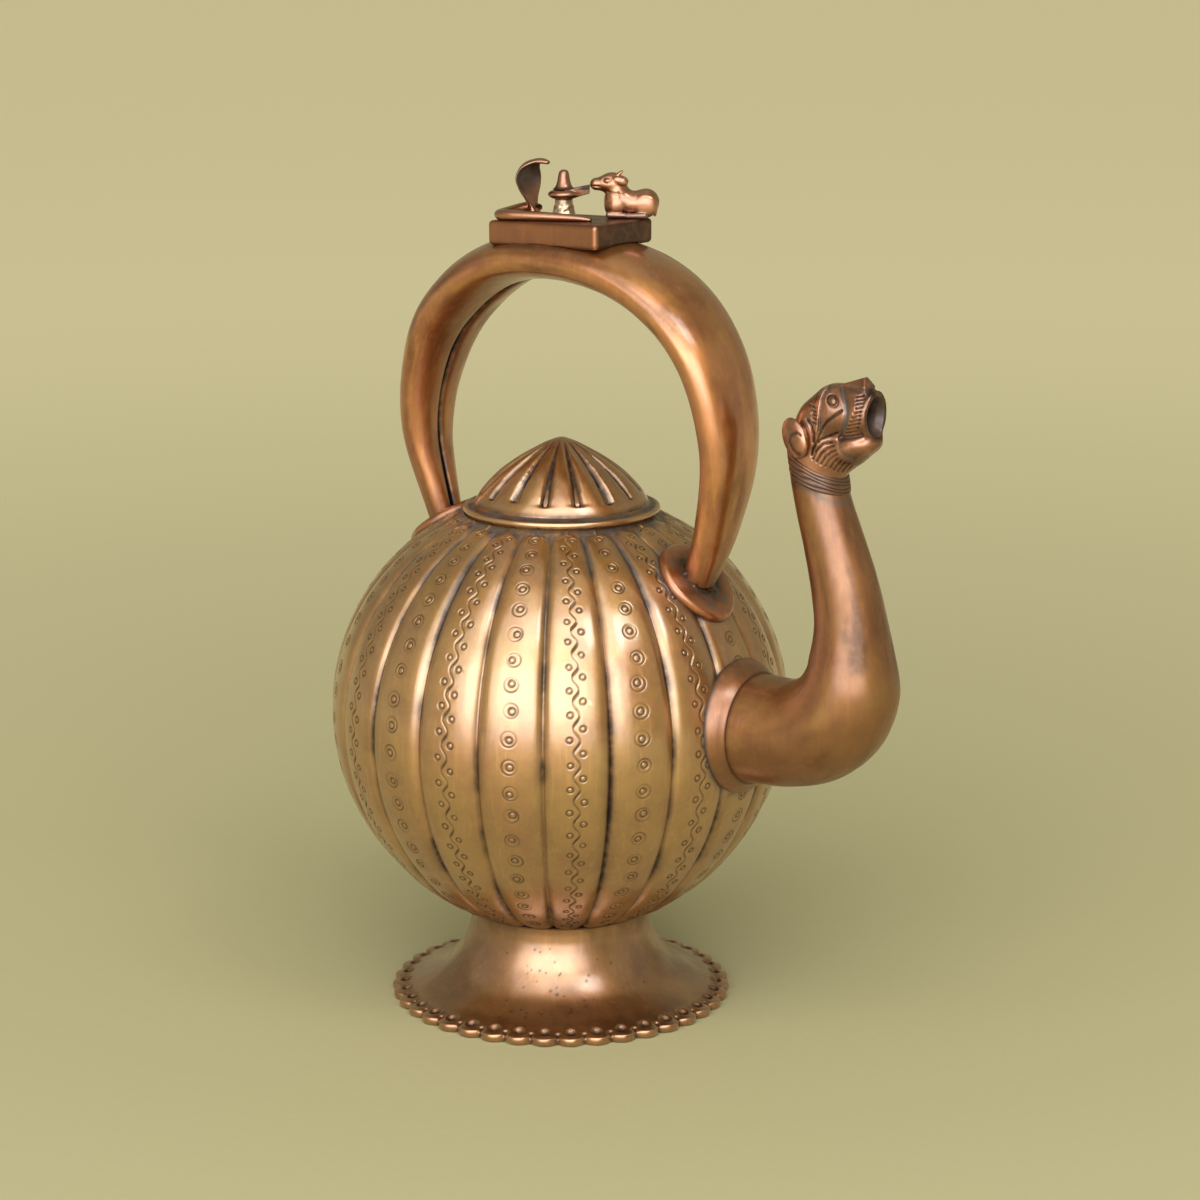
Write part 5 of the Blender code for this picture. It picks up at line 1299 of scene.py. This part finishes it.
nt.links.new(nn.outputs['Fac'], grain.inputs['Factor'])
far = nt.nodes.new('ShaderNodeVectorMath')
far.operation = 'LENGTH'
nt.links.new(tc.outputs['Object'], far.inputs[0])
mr = nt.nodes.new('ShaderNodeMapRange')
mr.interpolation_type = 'SMOOTHERSTEP'
mr.inputs['From Min'].default_value = -0.8
mr.inputs['From Max'].default_value = 2.6
nt.links.new(far.outputs['Value'], mr.inputs['Value'])
mx = nt.nodes.new('ShaderNodeMix')
mx.data_type = 'RGBA'
mx.inputs[7].default_value = FAR_C
nt.links.new(grain.outputs[2], mx.inputs[6])
nt.links.new(mr.outputs[0], mx.inputs['Factor'])
nt.links.new(mx.outputs[2], b.inputs['Base Color'])
me = bpy.data.meshes.new("floor")
s = 24.0
me.from_pydata([(-s, -s, -0.0002), (s, -s, -0.0002), (s, s, -0.0002), (-s, s, -0.0002)], [], [(0, 1, 2, 3)])
floor = bpy.data.objects.new("floor", me)
bpy.context.scene.collection.objects.link(floor)
me.materials.append(fm)

world = bpy.data.worlds.new("studio")
bpy.context.scene.world = world
world.use_nodes = True
bg = world.node_tree.nodes["Background"]
bg.inputs['Color'].default_value = (1.0, 0.92, 0.56, 1.0)
bg.inputs['Strength'].default_value = 0.32

CAM_AZ = math.radians(36.2)
cam_pos = Vector((0.6929 + AX, -0.9208, 0.42369))
fwd = Vector((-math.sin(CAM_AZ), math.cos(CAM_AZ), 0.0))
right = Vector((math.cos(CAM_AZ), math.sin(CAM_AZ), 0.0))
target = Vector((AX, 0.0, 0.14))


def area(name, pos, size, power, colour=(1, 1, 1), aim=target, size_y=None):
    li_ = bpy.data.lights.new(name, 'AREA')
    li_.energy = power
    li_.color = colour
    li_.shape = 'RECTANGLE'
    li_.size = size
    li_.size_y = size_y or size
    o = bpy.data.objects.new(name, li_)
    bpy.context.scene.collection.objects.link(o)
    o.location = pos
    o.rotation_euler = (aim - Vector(pos)).to_track_quat('-Z', 'Y').to_euler()
    return o


def around(deg, elev, dist):
    """Point round the object: degrees right of the camera, height angle, distance."""
    a_ = math.radians(deg)
    e_ = math.radians(elev)
    return target + (-fwd * math.cos(a_) + right * math.sin(a_)) * (dist * math.cos(e_)) + Vector((0, 0, dist * math.sin(e_)))


big = bpy.data.lights.new("soft_front", 'SUN')
big.energy = 1.85
big.angle = math.radians(80.0)
big.color = (1.0, 0.985, 0.95)
bo = bpy.data.objects.new("soft_front", big)
bpy.context.scene.collection.objects.link(bo)
bo.location = around(-12.0, 34.0, 2.0)
bo.rotation_euler = (target - bo.location).to_track_quat('-Z', 'Y').to_euler()
area("softbox", around(-10.0, 15.0, 1.4), 2.40, 8.2, (1.0, 0.98, 0.95), size_y=1.00)
area("key", around(-10.0, 24.0, 1.35), 1.30, 4.6, (1.0, 0.985, 0.96), size_y=0.75)
area("key_high", around(6.0, 52.0, 1.5), 1.20, 3.2, (1.0, 0.985, 0.96), size_y=0.50)
area("key_right", around(42.0, 50.0, 1.4), 0.40, 2.4, (1.0, 0.985, 0.96), size_y=0.40)
area("fill_left", around(-86.0, 16.0, 1.4), 1.30, 0.7, (1.0, 0.96, 0.86), size_y=1.10)
area("fill_right", around(88.0, 14.0, 1.4), 1.30, 0.5, (1.0, 0.96, 0.86), size_y=1.10)
area("top", target + Vector((0, 0, 1.6)) + fwd * 0.2, 1.2, 0.8, (1.0, 0.99, 0.97))

cam = bpy.data.cameras.new("camera")
cam.lens = 93.0
cam.sensor_width = 36.0
cam.sensor_fit = 'HORIZONTAL'
cam.clip_start = 0.05
cam.clip_end = 100.0
co = bpy.data.objects.new("camera", cam)
bpy.context.scene.collection.objects.link(co)
co.location = cam_pos
co.rotation_euler = (math.radians(90.0 - 13.089), 0.0, CAM_AZ)
bpy.context.scene.camera = co
bpy.context.scene.view_settings.view_transform = 'Standard'
bpy.context.scene.view_settings.look = 'None'
